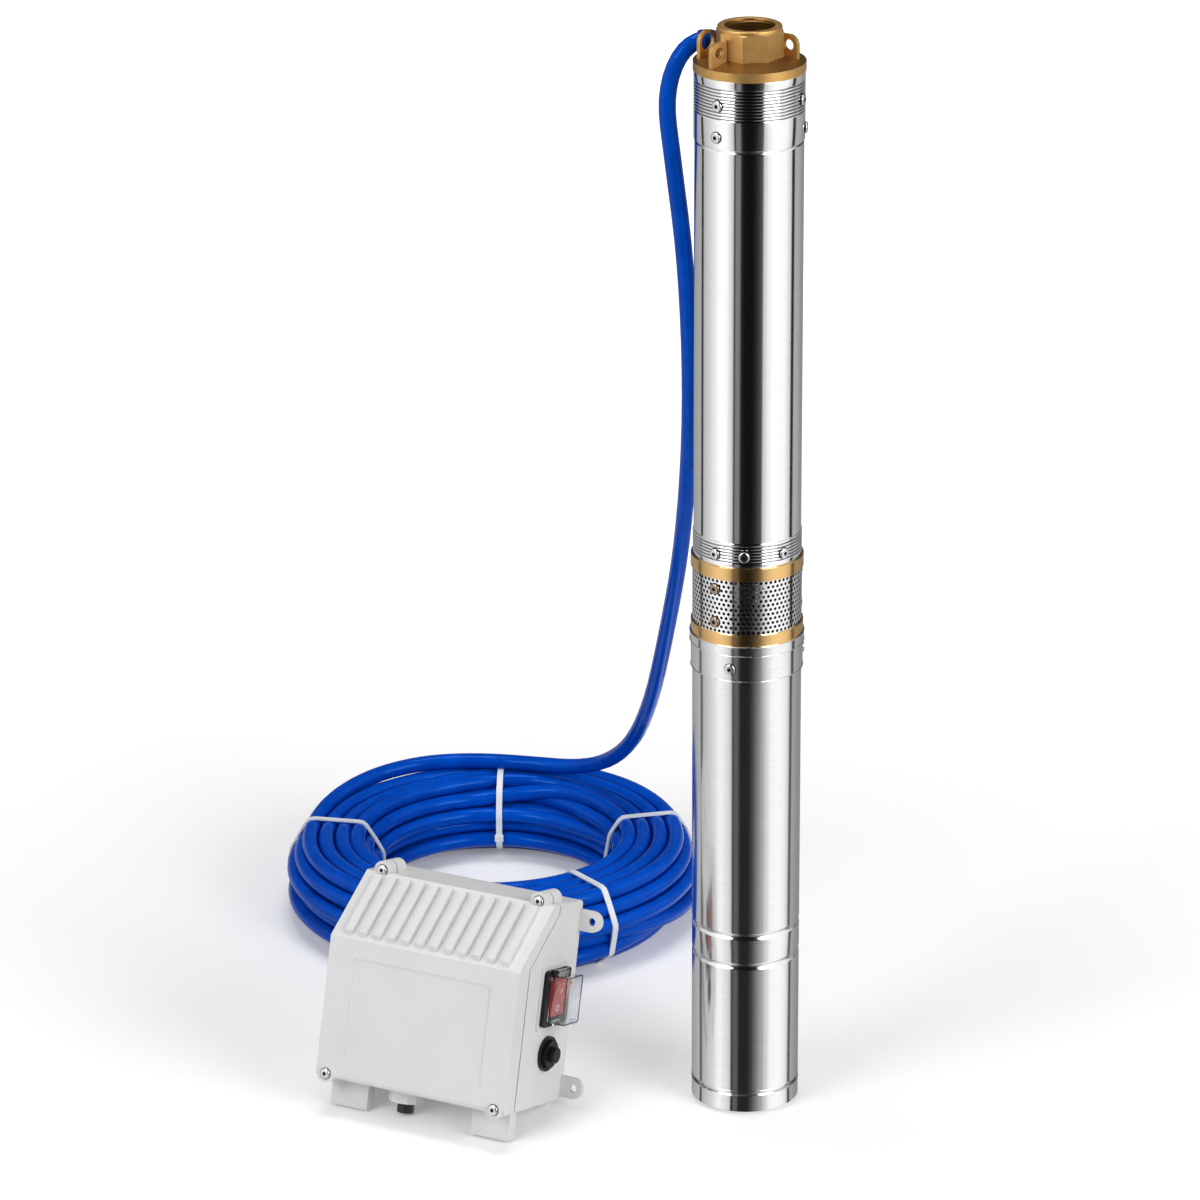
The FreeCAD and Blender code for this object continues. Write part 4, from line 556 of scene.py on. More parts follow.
cablePoints = [Vector(point) * mm for point in (*cable["route"], *coilPoints())]
cableCurve = bpy.data.curves.new("supplyCable", "CURVE")
cableCurve.dimensions = "3D"
spline = cableCurve.splines.new("NURBS")
spline.points.add(len(cablePoints) - 1)
for point, place in zip(spline.points, cablePoints):
    point.co = (*place, 1.0)
spline.order_u = 3
spline.use_endpoint_u = True
cableCurve.resolution_u = 5
cableCurve.bevel_resolution = 4
cableCurve.use_fill_caps = True


def splineLine():  # the cable's centreline, read off its spline before it gets its thickness
    bare = bpy.data.objects.new("bareCable", cableCurve.copy())
    mesh = bpy.data.meshes.new_from_object(bare)
    line = [v.co.copy() for v in mesh.vertices]
    bpy.data.objects.remove(bare)
    return line


cableLine = splineLine()
cableCurve.bevel_depth = cable["diameter"] / 2 * mm
cableCurve.materials.append(looks["cableJacket"])
supplyCable = inScene("supplyCable", cableCurve)
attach(supplyCable, "casing")
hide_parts("drop_cable", "cable_coil")
run = sum((b - a).length for a, b in zip(cableLine, cableLine[1:]))
print("cable:", round(run, 2), "m on", len(cablePoints), "points")


# Rings of the given radii round a line; the ends are closed
def sleeveMesh(name, line, radii, sides):
    made = bmesh.new()
    up = (line[1] - line[0]).orthogonal().normalized()
    rings = []
    for index, (centre, radius) in enumerate(zip(line, radii)):
        ahead = line[min(index + 1, len(line) - 1)] - line[max(index - 1, 0)]
        ahead.normalize()
        up = (up - ahead * up.dot(ahead)).normalized()
        side = ahead.cross(up)
        rings.append([made.verts.new(centre + radius * (up * math.cos(a) + side * math.sin(a)))
                      for a in (2 * math.pi * k / sides for k in range(sides))])
    joinRings(made, rings)
    made.faces.new(rings[0])
    made.faces.new(rings[-1])
    return turnedOut(made, bpy.data.meshes.new(name))


def alongLine(line, start, end, count):  # evenly spaced points between two distances along a line
    places, travelled, index = [], 0.0, 0
    for k in range(count):
        wanted = start + (end - start) * k / (count - 1)
        while travelled + (line[index + 1] - line[index]).length < wanted:
            travelled += (line[index + 1] - line[index]).length
            index += 1
        part = line[index + 1] - line[index]
        places.append(line[index] + part * ((wanted - travelled) / part.length))
    return places


boot = {"start": 12.0, "end": 34.0, "ribs": 8, "ribRadius": 7.1, "neckRadius": 6.7, "samplesPerRib": 8,
        "sides": 32}
count = boot["ribs"] * boot["samplesPerRib"] + 1
bootLine = alongLine(cableLine, boot["start"] * mm, boot["end"] * mm, count)
bootRadii = []
for k in range(count):
    wave = abs(math.sin(math.pi * k / boot["samplesPerRib"]))
    swell = boot["neckRadius"] + (boot["ribRadius"] - boot["neckRadius"]) * math.sqrt(wave)
    bootRadii.append(swell * mm)
mesh = sleeveMesh("cableBoot", bootLine, bootRadii, boot["sides"])
cableBoot = newPiece("cableBoot", smoothed(mesh, 60), "bootRubber", "casing", "boot_rubber", "cable_boot")


# Ties: a nylon band drawn round whatever turns pass its place, with the lock inside the coil
tie = {"width": 4.6, "thickness": 1.2, "around": 64, "innermost": 50.0, "reach": 66.0, "floorGap": 0.2,
       "lock": (5.6, 6.6, 3.4), "lockSink": 0.2, "hullSides": 24}


def hullRing(centres, radius, count):  # the line that a band takes round circles of one radius
    sides = tie["hullSides"]
    cloud = [Vector((c.x + radius * math.cos(a), c.y + radius * math.sin(a)))
             for c in centres for a in (2 * math.pi * k / sides for k in range(sides))]
    hull = [cloud[i] for i in convex_hull_2d(cloud)]
    middle = sum(hull, Vector((0.0, 0.0))) / len(hull)
    ring = []
    for k in range(count):
        a = 2 * math.pi * k / count
        ray = Vector((math.cos(a), math.sin(a)))
        reach = 0.0
        for p, q in zip(hull, hull[1:] + hull[:1]):
            edge = q - p
            cross = ray.x * edge.y - ray.y * edge.x
            if abs(cross) > 1e-12:
                d = p - middle
                t = (d.x * edge.y - d.y * edge.x) / cross
                s = (d.x * ray.y - d.y * ray.x) / cross
                if t > 0 and -1e-6 <= s <= 1 + 1e-6:
                    reach = max(reach, t)
        ring.append(middle + ray * reach)
    return ring


def addBox(made, frameMatrix, centre, size, roundShare=0.12):
    box = bmesh.ops.create_cube(made, size=1.0)["verts"]
    bmesh.ops.scale(made, vec=size, verts=box)
    bmesh.ops.translate(made, vec=centre, verts=box)
    edges = {edge for vert in box for edge in vert.link_edges}
    made.verts.index_update()
    rounded = bmesh.ops.bevel(made, geom=list(edges), offset=min(size) * roundShare, segments=2,
                              affect="EDGES")
    whole = {v for f in rounded["faces"] for v in f.verts}
    bmesh.ops.transform(made, matrix=frameMatrix, verts=list(whole))


def tieMesh():
    made = bmesh.new()
    centre = Vector((*cable["coilCentre"], 0.0)) * mm
    for azimuth in cable["ties"]:
        angle = math.radians(azimuth)
        outward = Vector((math.cos(angle), math.sin(angle), 0.0))
        along = Vector((-math.sin(angle), math.cos(angle), 0.0))
        crossings = []
        for a, b in zip(cableLine, cableLine[1:]):
            low, high = (a - centre).dot(along), (b - centre).dot(along)
            if (low <= 0.0 < high and (a - centre).dot(outward) > tie["innermost"] * mm
                    and a.z < tie["reach"] * mm):
                p = a.lerp(b, -low / (high - low)) - centre
                crossings.append(Vector((p.dot(outward), p.z)))
        rim = cable["diameter"] / 2 * mm
        inner = hullRing(crossings, rim, tie["around"])
        outer = hullRing(crossings, rim + tie["thickness"] * mm, tie["around"])
        rings = []
        for ring in (inner, outer):
            for side in (-1, 1):
                shift = along * (side * tie["width"] / 2 * mm)
                rings.append([made.verts.new(centre + shift + outward * p.x
                                             + Vector((0, 0, max(p.y, tie["floorGap"] * mm)))) for p in ring])
        joinRings(made, [rings[k] for k in (0, 1, 3, 2, 0)])
        low = min(outer, key=lambda p: p.x)
        frameMatrix = Matrix(((outward.x, along.x, 0, centre.x), (outward.y, along.y, 0, centre.y),
                              (0, 0, 1, 0), (0, 0, 0, 1)))
        height, width, depth = (size * mm for size in tie["lock"])
        addBox(made, frameMatrix, (low.x - depth * tie["lockSink"], 0.0, low.y), (depth, width, height))
    return smoothed(turnedOut(made, bpy.data.meshes.new("coilTies")), 40)


newPiece("coilTies", tieMesh(), "tieNylon", "casing", "tie_nylon", "coil_ties")
print("cable boot and ties made")


# Turned pieces: a closed profile of (radius, height) carried round the pump's axis
tree, given = newTree("turnedProfile", {"Segments": "Int", "Radius": "Float", "Finish": "Material"})
circle = addNode(tree, "GeometryNodeCurvePrimitiveCircle",
                 {"Resolution": given["Segments"], "Radius": given["Radius"]})
outline = addNode(tree, "GeometryNodeMeshToCurve", {"Mesh": given["Geometry"]})
swept = addNode(tree, "GeometryNodeCurveToMesh",
                {"Curve": circle.outputs["Curve"], "Profile Curve": outline.outputs["Curve"]})
outwardFaces = addNode(tree, "GeometryNodeFlipFaces", {"Mesh": swept.outputs["Mesh"]})
endTree(tree, outwardFaces.outputs["Mesh"], given["Finish"])
turnedTree = tree


def turnedMesh(name, profile, look, segments=192, sharpDegrees=35.0):
    reference = profile[0][0]
    seed = bpy.data.meshes.new(name)
    seed.from_pydata([((r - reference) * mm, -z * mm, 0.0) for r, z in profile],
                     [(i, (i + 1) % len(profile)) for i in range(len(profile))], [])
    values = {"Segments": segments, "Radius": reference * mm, "Finish": looks[look]}
    return smoothed(grownMesh(turnedTree, seed, values), sharpDegrees)


# A corner may carry how far its round reaches along both sides, up to a share of the shorter one
def rounded(corners, steps=4, most=0.48):
    points = []
    for index, corner in enumerate(corners):
        here = Vector(corner[:2])
        if len(corner) == 2:
            points.append(tuple(here))
            continue
        before = Vector(corners[index - 1][:2]) - here
        after = Vector(corners[(index + 1) % len(corners)][:2]) - here
        reach = min(corner[2], before.length * most, after.length * most)
        start, end = here + before.normalized() * reach, here + after.normalized() * reach
        for step in range(steps + 1):
            share = step / steps
            points.append(tuple(start * (1 - share) ** 2 + here * 2 * share * (1 - share) + end * share ** 2))
    return points


def ridges(radius, low, high, pitch, depth, steps=8):  # rolled thread lines on a band
    count = round((high - low) / pitch)
    return [(radius - depth * (0.5 - 0.5 * math.cos(2 * math.pi * k / steps)), low + k * pitch / steps)
            for k in range(count * steps + 1)]


pumpTube = {"bore": 35.2, "radius": 36.7, "band": 37.25, "low": 408.0, "lowBand": 425.0, "highBand": 700.3,
            "top": 747.3, "seam": 0.8, "lowThread": (411.0, 424.4), "highThread": (720.0, 742.0),
            "pitch": 2.2, "depth": 0.34, "edge": 0.4, "grooveOver": 0.1, "grooveUnder": 0.6}
p = pumpTube
profile = [(p["bore"], p["low"]), (p["band"], p["low"], p["edge"])]
profile += ridges(p["band"], *p["lowThread"], p["pitch"], p["depth"])
profile += [(p["band"], p["lowBand"], p["edge"]), (p["radius"], p["lowBand"] + p["edge"] * 2, p["edge"]),
            (p["radius"], p["highBand"] - p["seam"] * 2.2, p["edge"] * 1.6),
            (p["radius"] - p["seam"], p["highBand"] - p["seam"] * 1.2, p["edge"]),
            (p["radius"] - p["seam"], p["highBand"]),
            (p["band"], p["highBand"], p["edge"] * 2)]
profile += ridges(p["band"], *p["highThread"], p["pitch"], p["depth"])
profile += [(p["band"], p["top"], p["edge"]), (p["bore"], p["top"])]
mesh = turnedMesh("pumpTube", rounded(profile), "polishedStainless", sharpDegrees=50.0)
# the faces down in the thread grooves, which the finish darkens as painted shade
inGroove = mesh.attributes.new("inGroove", "FLOAT", "FACE")
for face in mesh.polygons:
    reach = face.center.xy.length / mm
    inGroove.data[face.index].value = float(p["radius"] + p["grooveOver"] < reach
                                            < p["band"] - p["grooveUnder"] * p["depth"])
newPiece("pumpTube", mesh, None, "casing", "polished_stainless", "pump_tube")

motorTube = {"bore": 36.0, "radius": 37.5, "low": 18.0, "top": 340.0, "rolls": (113.5, 136.0),
             "rollWidth": 5.6, "rollDepth": 1.15, "rollSteps": 16, "edge": 0.3}
p = motorTube
profile = [(p["bore"], p["low"]), (p["radius"] - p["edge"], p["low"]), (p["radius"], p["low"] + p["edge"])]
for height in p["rolls"]:
    for step in range(p["rollSteps"] + 1):
        share = step / p["rollSteps"]
        sink = p["rollDepth"] * (0.5 - 0.5 * math.cos(2 * math.pi * share))
        profile.append((p["radius"] - sink, height + (share - 0.5) * p["rollWidth"]))
profile += [(p["radius"], p["top"]), (p["bore"], p["top"])]
mesh = turnedMesh("motorTube", profile, "buffedStainless")
newPiece("motorTube", mesh, None, "casing", "polished_stainless", "motor_tube")
# Rolled beads catch the light along the edges of the collar and the foot
beads = {"girth": 0.42, "steps": 8,
         "places": ((38.45, 326.4), (39.15, 344.9), (39.15, 351.6), (37.25, 18.0), (37.25, 14.4))}
profile = [(beads["girth"] * math.cos(a), beads["girth"] * math.sin(a))
           for a in (2 * math.pi * k / beads["steps"] for k in range(beads["steps"]))]
joined = bmesh.new()
for radius, height in beads["places"]:
    joined.from_mesh(turnedMesh("bead", [(radius + x, height + z) for x, z in profile], "buffedStainless"))
mesh = turnedOut(joined, bpy.data.meshes.new("collarBeads"))
newPiece("collarBeads", smoothed(mesh, 60), "buffedStainless", "casing", "polished_stainless")
print("tubes turned")


# Strainer: one curved tile with a hole, set round and up the sheet with every second row shifted
strainer = {"radius": 37.5, "sheet": 1.0, "low": 360.0, "height": 39.0, "holes": 68, "rows": 12,
            "holeRadius": 1.12}


def tileMesh():  # the sheet's two sides and the wall of the hole
    rise = strainer["height"] / strainer["rows"]
    wide = 2 * math.pi * strainer["radius"] / strainer["holes"]
    a, b = wide / 2, rise / 2
    rim = [(a, -b), (a, 0), (a, b), (a / 2, b), (0, b), (-a / 2, b), (-a, b), (-a, 0), (-a, -b),
           (-a / 2, -b), (0, -b), (a / 2, -b)]
    verts, faces = [], []
    for radius in (strainer["radius"], strainer["radius"] - strainer["sheet"]):
        for x, z in rim:
            angle = x / strainer["radius"]
            verts.append((radius * math.cos(angle) * mm, radius * math.sin(angle) * mm, (z + b) * mm))
        for x, z in rim:
            reach = strainer["holeRadius"] / math.hypot(x, z)
            angle = x * reach / strainer["radius"]
            verts.append((radius * math.cos(angle) * mm, radius * math.sin(angle) * mm, (z * reach + b) * mm))
    outer, back, inner = (len(rim) * k for k in (1, 2, 3))
    for k in range(len(rim)):
        n = (k + 1) % len(rim)
        faces.append((k, n, outer + n, outer + k))
        faces.append((back + n, back + k, inner + k, inner + n))
        faces.append((outer + k, outer + n, inner + n, inner + k))
    mesh = bpy.data.meshes.new("strainerTile")
    mesh.from_pydata(verts, [], faces)
    return mesh


tree, given = newTree("perforatedSheet", {"Holes": "Int", "Rows": "Int", "Low": "Float", "Rise": "Float",
                                          "Finish": "Material"})
index = addNode(tree, "GeometryNodeInputIndex").outputs["Index"]
half = addNode(tree, "ShaderNodeMath", {0: index, 1: 0.5}, operation="ADD")
share = addNode(tree, "ShaderNodeMath", {0: half.outputs[0], 1: given["Holes"]}, operation="DIVIDE")
row = addNode(tree, "ShaderNodeMath", {0: share.outputs[0]}, operation="FLOOR")
before = addNode(tree, "ShaderNodeMath", {0: row.outputs[0], 1: given["Holes"]}, operation="MULTIPLY")
column = addNode(tree, "ShaderNodeMath", {0: index, 1: before.outputs[0]}, operation="SUBTRACT")
odd = addNode(tree, "ShaderNodeMath", {0: row.outputs[0], 1: 2.0}, operation="MODULO")
shifted = addNode(tree, "ShaderNodeMath", {0: odd.outputs[0], 1: 0.5, 2: column.outputs[0]},
                  operation="MULTIPLY_ADD")
part = addNode(tree, "ShaderNodeMath", {0: shifted.outputs[0], 1: given["Holes"]}, operation="DIVIDE")
turn = addNode(tree, "ShaderNodeMath", {0: part.outputs[0], 1: 2 * math.pi}, operation="MULTIPLY")
height = addNode(tree, "ShaderNodeMath", {0: row.outputs[0], 1: given["Rise"], 2: given["Low"]},
                 operation="MULTIPLY_ADD")
total = addNode(tree, "ShaderNodeMath", {0: given["Holes"], 1: given["Rows"]}, operation="MULTIPLY")
place = addNode(tree, "ShaderNodeCombineXYZ", {"Z": height.outputs[0]}).outputs["Vector"]
spin = addNode(tree, "ShaderNodeCombineXYZ", {"Z": turn.outputs[0]}).outputs["Vector"]
points = addNode(tree, "GeometryNodePoints", {"Count": total.outputs[0], "Position": place})
turned = addNode(tree, "FunctionNodeEulerToRotation", {"Euler": spin})
tiles = addNode(tree, "GeometryNodeInstanceOnPoints", {"Points": points.outputs[0],
                "Instance": given["Geometry"], "Rotation": turned.outputs["Rotation"]})
endTree(tree, tiles.outputs["Instances"], given["Finish"])
mesh = grownMesh(tree, tileMesh(), {
    "Holes": strainer["holes"], "Rows": strainer["rows"], "Low": strainer["low"] * mm,
    "Rise": strainer["height"] / strainer["rows"] * mm, "Finish": looks["polishedStainless"]})
made = bmesh.new()
made.from_mesh(mesh)
bmesh.ops.remove_doubles(made, verts=made.verts, dist=weld)
for height in (strainer["low"], strainer["low"] + strainer["height"]):
    rim = [e for e in made.edges if e.is_boundary and all(abs(v.co.z - height * mm) < 1e-5 for v in e.verts)]
    bmesh.ops.bridge_loops(made, edges=rim)
mesh = smoothed(turnedOut(made, mesh), 40)
newPiece("strainerSheet", mesh, None, "casing", "polished_stainless", "strainer")
print("strainer:", strainer["holes"] * strainer["rows"], "holes")


# Screws: one button head with a hexagon socket, set on every seat and turned to face out
# the ring under the head and the socket take a near-black finish: painted shade
screw = {"shadeRing": ((4.2, 0.0), (4.2, 0.3), (3.95, 0.4), (3.6, 0.4)),
         "crown": ((3.6, 0.5), (3.8, 0.75), (3.8, 1.15), (3.6, 1.5), (3.2, 1.75), (2.6, 1.86)),
         "socketRadius": 1.55, "socketDepth": 1.2, "sides": 24, "top": 1.9, "chamfer": 0.15, "sunk": 0.15,
         "socketReach": 1.01, "shadeRingTop": 0.6}


def screwMesh():
    made = bmesh.new()
    sides = screw["sides"]

    def ringAt(radius, height, corners=0):
        ring = []
        for k in range(sides):
            a = 2 * math.pi * k / sides
            reach = radius
            if corners:  # a circle drawn in to the flats of a hexagon
                wedge = 2 * math.pi / corners
                reach = radius * math.cos(wedge / 2) / math.cos((a % wedge) - wedge / 2)
            ring.append(made.verts.new((reach * math.cos(a) * mm, reach * math.sin(a) * mm, height * mm)))
        return ring

    rings = [ringAt(radius, height) for radius, height in screw["shadeRing"] + screw["crown"]]
    rings.append(ringAt(screw["socketRadius"] + screw["chamfer"], screw["top"]))
    rings.append(ringAt(screw["socketRadius"], screw["top"], 6))
    rings.append(ringAt(screw["socketRadius"], screw["top"] - screw["socketDepth"], 6))
    joinRings(made, rings)
    made.faces.new(rings[-1])
    made.faces.new(rings[0][::-1])
    mesh = turnedOut(made, bpy.data.meshes.new("screwHead"))
    # the socket's faces and the ring's faces, near black as painted shade
    inside = mesh.attributes.new("socket", "BOOLEAN", "FACE")
    limit = screw["socketRadius"] * screw["socketReach"] * mm
    for face in mesh.polygons:
        high = max(mesh.vertices[i].co.z for i in face.vertices)
        reach = max(mesh.vertices[i].co.xy.length for i in face.vertices)
        inside.data[face.index].value = reach < limit or high < screw["shadeRingTop"] * mm
    return smoothed(mesh, 35)


tree, given = newTree("screwsOnSeats", {"Screw": "Object", "Finish": "Material", "Shade Finish": "Material"})
facing = addNode(tree, "GeometryNodeInputNamedAttribute", {"Name": "outward"}, data_type="FLOAT_VECTOR")
aligned = addNode(tree, "FunctionNodeAlignRotationToVector", {"Vector": facing.outputs["Attribute"]},
                  axis="Z")
single = addNode(tree, "GeometryNodeObjectInfo", {"Object": given["Screw"]})
heads = addNode(tree, "GeometryNodeInstanceOnPoints", {"Points": given["Geometry"],
                "Instance": single.outputs["Geometry"], "Rotation": aligned.outputs["Rotation"]})
real = addNode(tree, "GeometryNodeRealizeInstances", {"Geometry": heads.outputs["Instances"]})
plain = addNode(tree, "GeometryNodeSetMaterial", {"Geometry": real.outputs[0], "Material": given["Finish"]})
shadedFace = addNode(tree, "GeometryNodeInputNamedAttribute", {"Name": "socket"}, data_type="BOOLEAN")
dark = addNode(tree, "GeometryNodeSetMaterial", {"Geometry": plain.outputs[0],
               "Selection": shadedFace.outputs["Attribute"], "Material": given["Shade Finish"]})
addNode(tree, "NodeGroupOutput", {"Geometry": dark.outputs[0]})
screwTree = tree
screwHead = inScene("screwHead", screwMesh())


def setScrews(name, seats, look, slotName, *nodes):
    seed = bpy.data.meshes.new(name)
    seed.from_pydata([seat for seat, _ in seats], [], [])
    outward = seed.attributes.new("outward", "FLOAT_VECTOR", "POINT")
    for index, (_, direction) in enumerate(seats):
        outward.data[index].vector = direction
    mesh = grownMesh(screwTree, seed, {
        "Screw": screwHead, "Finish": looks[look], "Shade Finish": looks["paintedShadeSteel"]})
    return newPiece(name, smoothed(mesh, 35), None, "casing", slotName, *nodes)


def roundSeats(radius, places):
    seats = []
    for azimuth, height in places:
        a = math.radians(azimuth)
        outward = Vector((math.cos(a), math.sin(a), 0.0))
        seats.append((outward * (radius - screw["sunk"]) * mm + Vector((0, 0, height * mm)), outward))
    return seats


# The seats round the pump: radius, then azimuth and height of each
roundSets = {
    "headScrews": (37.25, ((-126.0, 729.9), (-22.0, 729.9), (98.0, 729.9), (-127.5, 708.4), (-7.5, 708.4),
                           (97.5, 708.4)), "steelFastener", "head_screws"),
    "intakeScrews": (37.25, ((-127.5, 416.5), (-95.0, 416.5), (-50.0, 416.5), (60.0, 416.5)),
                     "steelFastener", "intake_screws"),
    "strainerScrews": (37.5, ((-127.0, 367.5), (-127.0, 391.5), (17.0, 367.5), (17.0, 391.5)),
                       "tarnishedBrass", "strainer_screws"),
    "collarScrews": (38.5, ((-109.0, 335.25), (11.0, 335.25), (131.0, 335.25)),
                     "steelFastener", "collar_screws"),
}
for name, (radius, places, look, node) in roundSets.items():
    setScrews(name, roundSeats(radius, places), look, "steel_fasteners", node)

# The control box leans back on its feet; its own frame has the back face at y = 0
box = {"place": (-196.5, 14.0, 5.278), "yaw": -27.0, "lean": -15.0,
       "coverSeats": ((-62.0, -45.8, 144.5), (62.0, -45.8, 144.5), (-66.5, -89.8, 3.0), (66.5, -89.8, 3.0))}
boxFrame = (Matrix.Translation(Vector(box["place"]) * mm)
            @ Matrix.Rotation(math.radians(box["yaw"]), 4, "Z")
            @ Matrix.Rotation(math.radians(box["lean"]), 4, "X"))
front = boxFrame.to_3x3() @ Vector((0.0, -1.0, 0.0))
seats = [(boxFrame @ (Vector(place) * mm), front) for place in box["coverSeats"]]
setScrews("coverScrews", seats, "steelFastener", "steel_fasteners", "cover_screws")
bpy.data.objects.remove(screwHead)
print("screws set")


# Moulded and cast pieces: the CAD piece merged, with a round on its sharp edges. roundAt gives
# an edge's own round from its two ends, and moved a point's new place.
edgeRound = {"flatDegrees": 0.6, "fromDegrees": 28.0, "segments": 3}


def roundedCopy(name, node, widest, roundAt=None, moved=None):
    mesh = frame["nodes"][node].data.copy()
    made = bmesh.new()
    made.from_mesh(mesh)
    for vert in made.verts:
        vert.co = moved(vert.co) if moved else vert.co
    bmesh.ops.remove_doubles(made, verts=made.verts, dist=weld)
    bmesh.ops.dissolve_degenerate(made, edges=made.edges, dist=weld)
    bmesh.ops.dissolve_limit(made, angle_limit=math.radians(edgeRound["flatDegrees"]),
                             verts=made.verts, edges=made.edges)
    weights = made.edges.layers.float.new("bevel_weight_edge")
    for edge in made.edges:
        if len(edge.link_faces) == 2 and edge.calc_face_angle() > math.radians(edgeRound["fromDegrees"]):
            edge[weights] = roundAt(*(vert.co for vert in edge.verts)) / widest if roundAt else 1.0
    made.to_mesh(mesh)
    made.free()
    mesh.materials.clear()
    for _ in range(2):
        mesh.materials.append(None)
    mesh.shade_smooth()
    holder = inScene(name, mesh)
    bevel = holder.modifiers.new("edgeRound", "BEVEL")
    bevel.width = widest * mm
    bevel.segments = edgeRound["segments"]
    bevel.limit_method = "WEIGHT"
    bevel.use_clamp_overlap = True
    bevel.material = 1  # tells the new faces from the old ones
    flat = holder.modifiers.new("flatFaces", "WEIGHTED_NORMAL")  # rounds shade as rounds, faces stay flat
    flat.mode = "FACE_AREA"
    flat.weight = 100
    depsgraph = bpy.context.evaluated_depsgraph_get()
    done = bpy.data.meshes.new_from_object(holder.evaluated_get(depsgraph))
    bpy.data.objects.remove(holder)
    # the round faces, which the finishes make paler: partly rubbed wear, partly a painted highlight
    onRound = done.attributes.new("onRound", "FLOAT", "FACE")
    for face in done.polygons:
        onRound.data[face.index].value = float(face.material_index == 1)
        face.material_index = 0
    return done


cover = {"crest": (-45.0, 143.0), "foot": (-89.0, 101.0), "ribTop": 1.6, "ribStart": 4.0, "ribEnd": 66.0,
         "ribRound": 2.3, "ribTaller": 1.3, "panel": (54.0, 17.0, 88.0), "panelRound": 0.35,
         "panelReach": 0.1, "panelDepth": 1.0, "round": 1.2, "housingRound": 1.0}
downSlope = (Vector((0.0, *cover["foot"])) - Vector((0.0, *cover["crest"]))).normalized()
offSlope = Vector((0.0, downSlope.z, -downSlope.y))


def onRibTop(place):
    away = place - Vector((0.0, *cover["crest"]))
    return (away.dot(offSlope) > cover["ribTop"] and away.dot(downSlope) > cover["ribStart"]
            and abs(place.x) < cover["ribEnd"])


def ribsRaised(place):  # the photograph's ribs stand a little higher than the CAD part's
    inBox = boxFrame.inverted() @ place / mm
    return boxFrame @ ((inBox + cover["ribTaller"] * offSlope) * mm) if onRibTop(inBox) else place


def coverRound(*ends):
    inBox = [boxFrame.inverted() @ place / mm for place in ends]
    if all(onRibTop(p) for p in inBox):
        return cover["ribRound"]
    halfWide, bottom, top = cover["panel"]
    near = cover["panelReach"]
    if all(abs(p.x) < halfWide + near and bottom - near < p.z < top + near
           and p.y < cover["foot"][0] + cover["panelDepth"] for p in inBox):
        return cover["panelRound"]
    return cover["round"]


mesh = roundedCopy("boxCover", "box_cover", cover["ribRound"], coverRound, moved=ribsRaised)
newPiece("boxCover", mesh, "mouldedAbs", "casing", "box_abs", "box_cover")
mesh = roundedCopy("boxHousing", "box_housing", cover["housingRound"])
newPiece("boxHousing", mesh, "mouldedAbs", "casing", "box_abs", "box_housing")
# The discharge head, its bore opened to the root of a rolled-in helical thread
head = {"round": 0.8, "crest": 15.15, "root": 16.63, "low": 757.2, "high": 775.6, "pitch": 2.31,
        "tooth": 1.5, "toothShare": 0.92, "pointsPerTurn": 64, "boreNear": 0.35, "boreOver": 750.0,
        "topShadeUnder": 756.0, "topShadeLevel": 0.9}
mesh = roundedCopy("dischargeHead", "discharge_head", head["round"])
for vert in mesh.vertices:
    offBore = abs(vert.co.xy.length - head["crest"] * mm)
    if offBore < head["boreNear"] * mm and vert.co.z > head["boreOver"] * mm:
        vert.co.xy *= head["root"] / head["crest"]
flangeTopShade = mesh.attributes.new("flangeTopShade", "FLOAT", "FACE")
for face in mesh.polygons:  # the flange's top, darkened as a painted dark reflection
    flangeTopShade.data[face.index].value = float(face.normal.z > head["topShadeLevel"]
                                            and face.center.z < head["topShadeUnder"] * mm)
newPiece("dischargeHead", mesh, "castBrass", "casing", "cast_brass", "discharge_head")

tree, given = newTree("boreThread", {"Turns": "Float", "Radius": "Float", "Rise": "Float", "Points": "Int",
                                     "Finish": "Material"})
helix = addNode(tree, "GeometryNodeCurveSpiral", {"Resolution": given["Points"], "Rotations": given["Turns"],
                "Start Radius": given["Radius"], "End Radius": given["Radius"], "Height": given["Rise"]})
upright = addNode(tree, "GeometryNodeSetCurveNormal", {"Curve": helix.outputs["Curve"]}, mode="Z_UP")
tooth = addNode(tree, "GeometryNodeMeshToCurve", {"Mesh": given["Geometry"]})
cut = addNode(tree, "GeometryNodeCurveToMesh", {"Curve": upright.outputs[0],
              "Profile Curve": tooth.outputs["Curve"], "Fill Caps": True})
endTree(tree, cut.outputs["Mesh"], given["Finish"])
turns = (head["high"] - head["low"]) / head["pitch"]
depth, half = head["tooth"] * mm, head["pitch"] / 2 * head["toothShare"] * mm
seed = bpy.data.meshes.new("boreThread")
seed.from_pydata([(depth, 0.0, 0.0), (0.0, half, 0.0), (0.0, -half, 0.0)], [(0, 1), (1, 2), (2, 0)], [])
mesh = grownMesh(tree, seed, {
    "Turns": turns, "Radius": head["root"] * mm, "Rise": head["high"] * mm - head["low"] * mm,
    "Points": round(head["pointsPerTurn"] * turns), "Finish": looks["castBrass"]})
mesh.transform(Matrix.Translation((0.0, 0.0, head["low"] * mm)))
made = bmesh.new()
made.from_mesh(mesh)
turnedOut(made, mesh)
spread = [v.co.xy.length / mm for v in mesh.vertices]
print("bore thread: radius", round(min(spread), 2), "to", round(max(spread), 2))
newPiece("boreThread", smoothed(mesh, 35), None, "casing", "cast_brass")

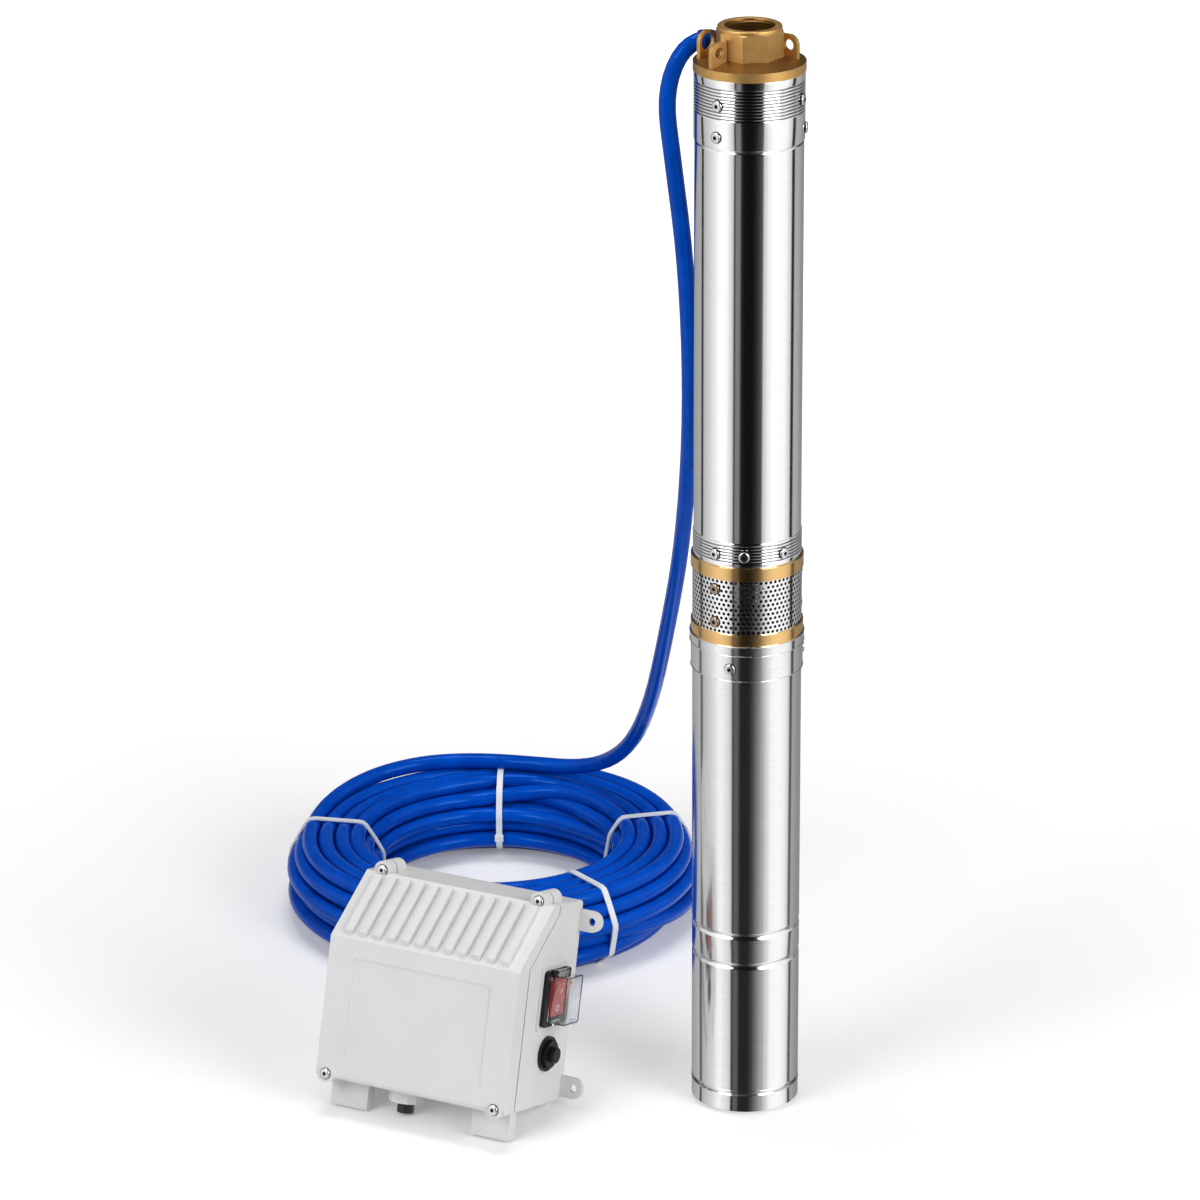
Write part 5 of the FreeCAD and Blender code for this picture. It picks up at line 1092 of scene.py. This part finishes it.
# Rocker: generic marks printed on its two ends, a bar and a ring
marks = {"pivot": (76.0, -34.0, 78.0), "tilt": 9.0, "face": 4.95, "hollow": 70.0, "place": 6.6,
         "bar": (1.7, 4.6), "ringOuter": 2.6, "ringInner": 1.5, "paint": 0.4, "sides": 24}
made = bmesh.new()
for side in (1, -1):
    height = side * marks["place"]
    reach = marks["face"] + height ** 2 / (2 * marks["hollow"])
    onFace = (boxFrame @ Matrix.Translation(Vector(marks["pivot"]) * mm)
              @ Matrix.Rotation(math.radians(marks["tilt"]), 4, "Y")
              @ Matrix.Translation(Vector((reach, 0, height)) * mm)
              @ Matrix.Rotation(math.atan(height / marks["hollow"]), 4, "Y"))
    if side == 1:
        addBox(made, onFace, (0, 0, 0), (marks["paint"] * mm, marks["bar"][0] * mm, marks["bar"][1] * mm))
        continue
    rings = []
    for radius, x in ((marks["ringOuter"], -0.5), (marks["ringOuter"], 0.5), (marks["ringInner"], 0.5),
                      (marks["ringInner"], -0.5)):
        rings.append([made.verts.new(onFace @ (Vector((x * marks["paint"], radius * math.cos(a),
                                                       radius * math.sin(a))) * mm))
                      for a in (2 * math.pi * k / marks["sides"] for k in range(marks["sides"]))])
    joinRings(made, rings + rings[:1])
mesh = turnedOut(made, bpy.data.meshes.new("rockerMarks"))
newPiece("rockerMarks", smoothed(mesh, 40), "markPaint", "rocker", "rocker_red")

# Reset switch: a ring of fine ribs to grip the nut by
knurl = {"place": (77.6, -33.0, 37.0), "radius": 9.75, "ribs": 40, "rib": (1.9, 0.8, 0.7)}
tree, given = newTree("ribsRoundNut", {"Ribs": "Int", "Radius": "Float", "Finish": "Material"})
circle = addNode(tree, "GeometryNodeMeshCircle", {"Vertices": given["Ribs"], "Radius": given["Radius"]})
place = addNode(tree, "GeometryNodeInputPosition")
aligned = addNode(tree, "FunctionNodeAlignRotationToVector", {"Vector": place.outputs["Position"]},
                  axis="X")
ribs = addNode(tree, "GeometryNodeInstanceOnPoints", {"Points": circle.outputs["Mesh"],
               "Instance": given["Geometry"], "Rotation": aligned.outputs["Rotation"]})
endTree(tree, ribs.outputs["Instances"], given["Finish"])
made = bmesh.new()
length, width, proud = (size * mm for size in knurl["rib"])
addBox(made, Matrix.Identity(4), (0, 0, length / 2), (proud, width, length))
mesh = grownMesh(tree, turnedOut(made, bpy.data.meshes.new("nutRib")), {
    "Ribs": knurl["ribs"], "Radius": knurl["radius"] * mm, "Finish": looks["blackNylon"]})
mesh.transform(boxFrame @ Matrix.Translation(Vector(knurl["place"]) * mm)
               @ Matrix.Rotation(math.pi / 2, 4, "Y"))
newPiece("resetKnurl", smoothed(mesh, 40), None, "casing", "switch_black")
print("head, rocker marks and reset knurl finished")


# Every CAD piece that stays gets the finish of its slot
slotLooks = {
    "polished_stainless": "polishedStainless", "steel_fasteners": "steelFastener",
    "steel_shaft": "groundShaft", "cast_brass": "castBrass", "moulded_noryl": "mouldedNoryl",
    "bearing_iron": "bearingIron",
    "carbon_face": "lappedCarbon", "laminated_steel": "laminatedSteel", "copper_winding": "copperWinding",
    "seal_rubber": "nitrileRubber", "cable_jacket": "cableJacket", "boot_rubber": "bootRubber",
    "tie_nylon": "tieNylon", "box_abs": "mouldedAbs", "switch_black": "blackNylon",
    "rocker_red": "redPolycarbonate", "clear_cover": "clearPolycarbonate", "gland_nylon": "whiteNylon",
    "mains_rubber": "leadRubber", "capacitor_case": "capacitorShell", "terminal_plastic": "terminalNylon",
}
ownLooks = {"intake_bracket": "turnedBrass", "motor_foot": "buffedStainless",
            "motor_collar": "buffedStainless"}
slotOf = {part["node"]: part["material_slot"] for part in frame["record"]["subparts"]}
for name, node in frame["nodes"].items():
    look = looks[ownLooks.get(name, slotLooks[slotOf[name]])]
    if node.material_slots:
        for place in node.material_slots:
            place.material = look
    else:
        node.data.materials.append(look)
print("CAD pieces dressed")
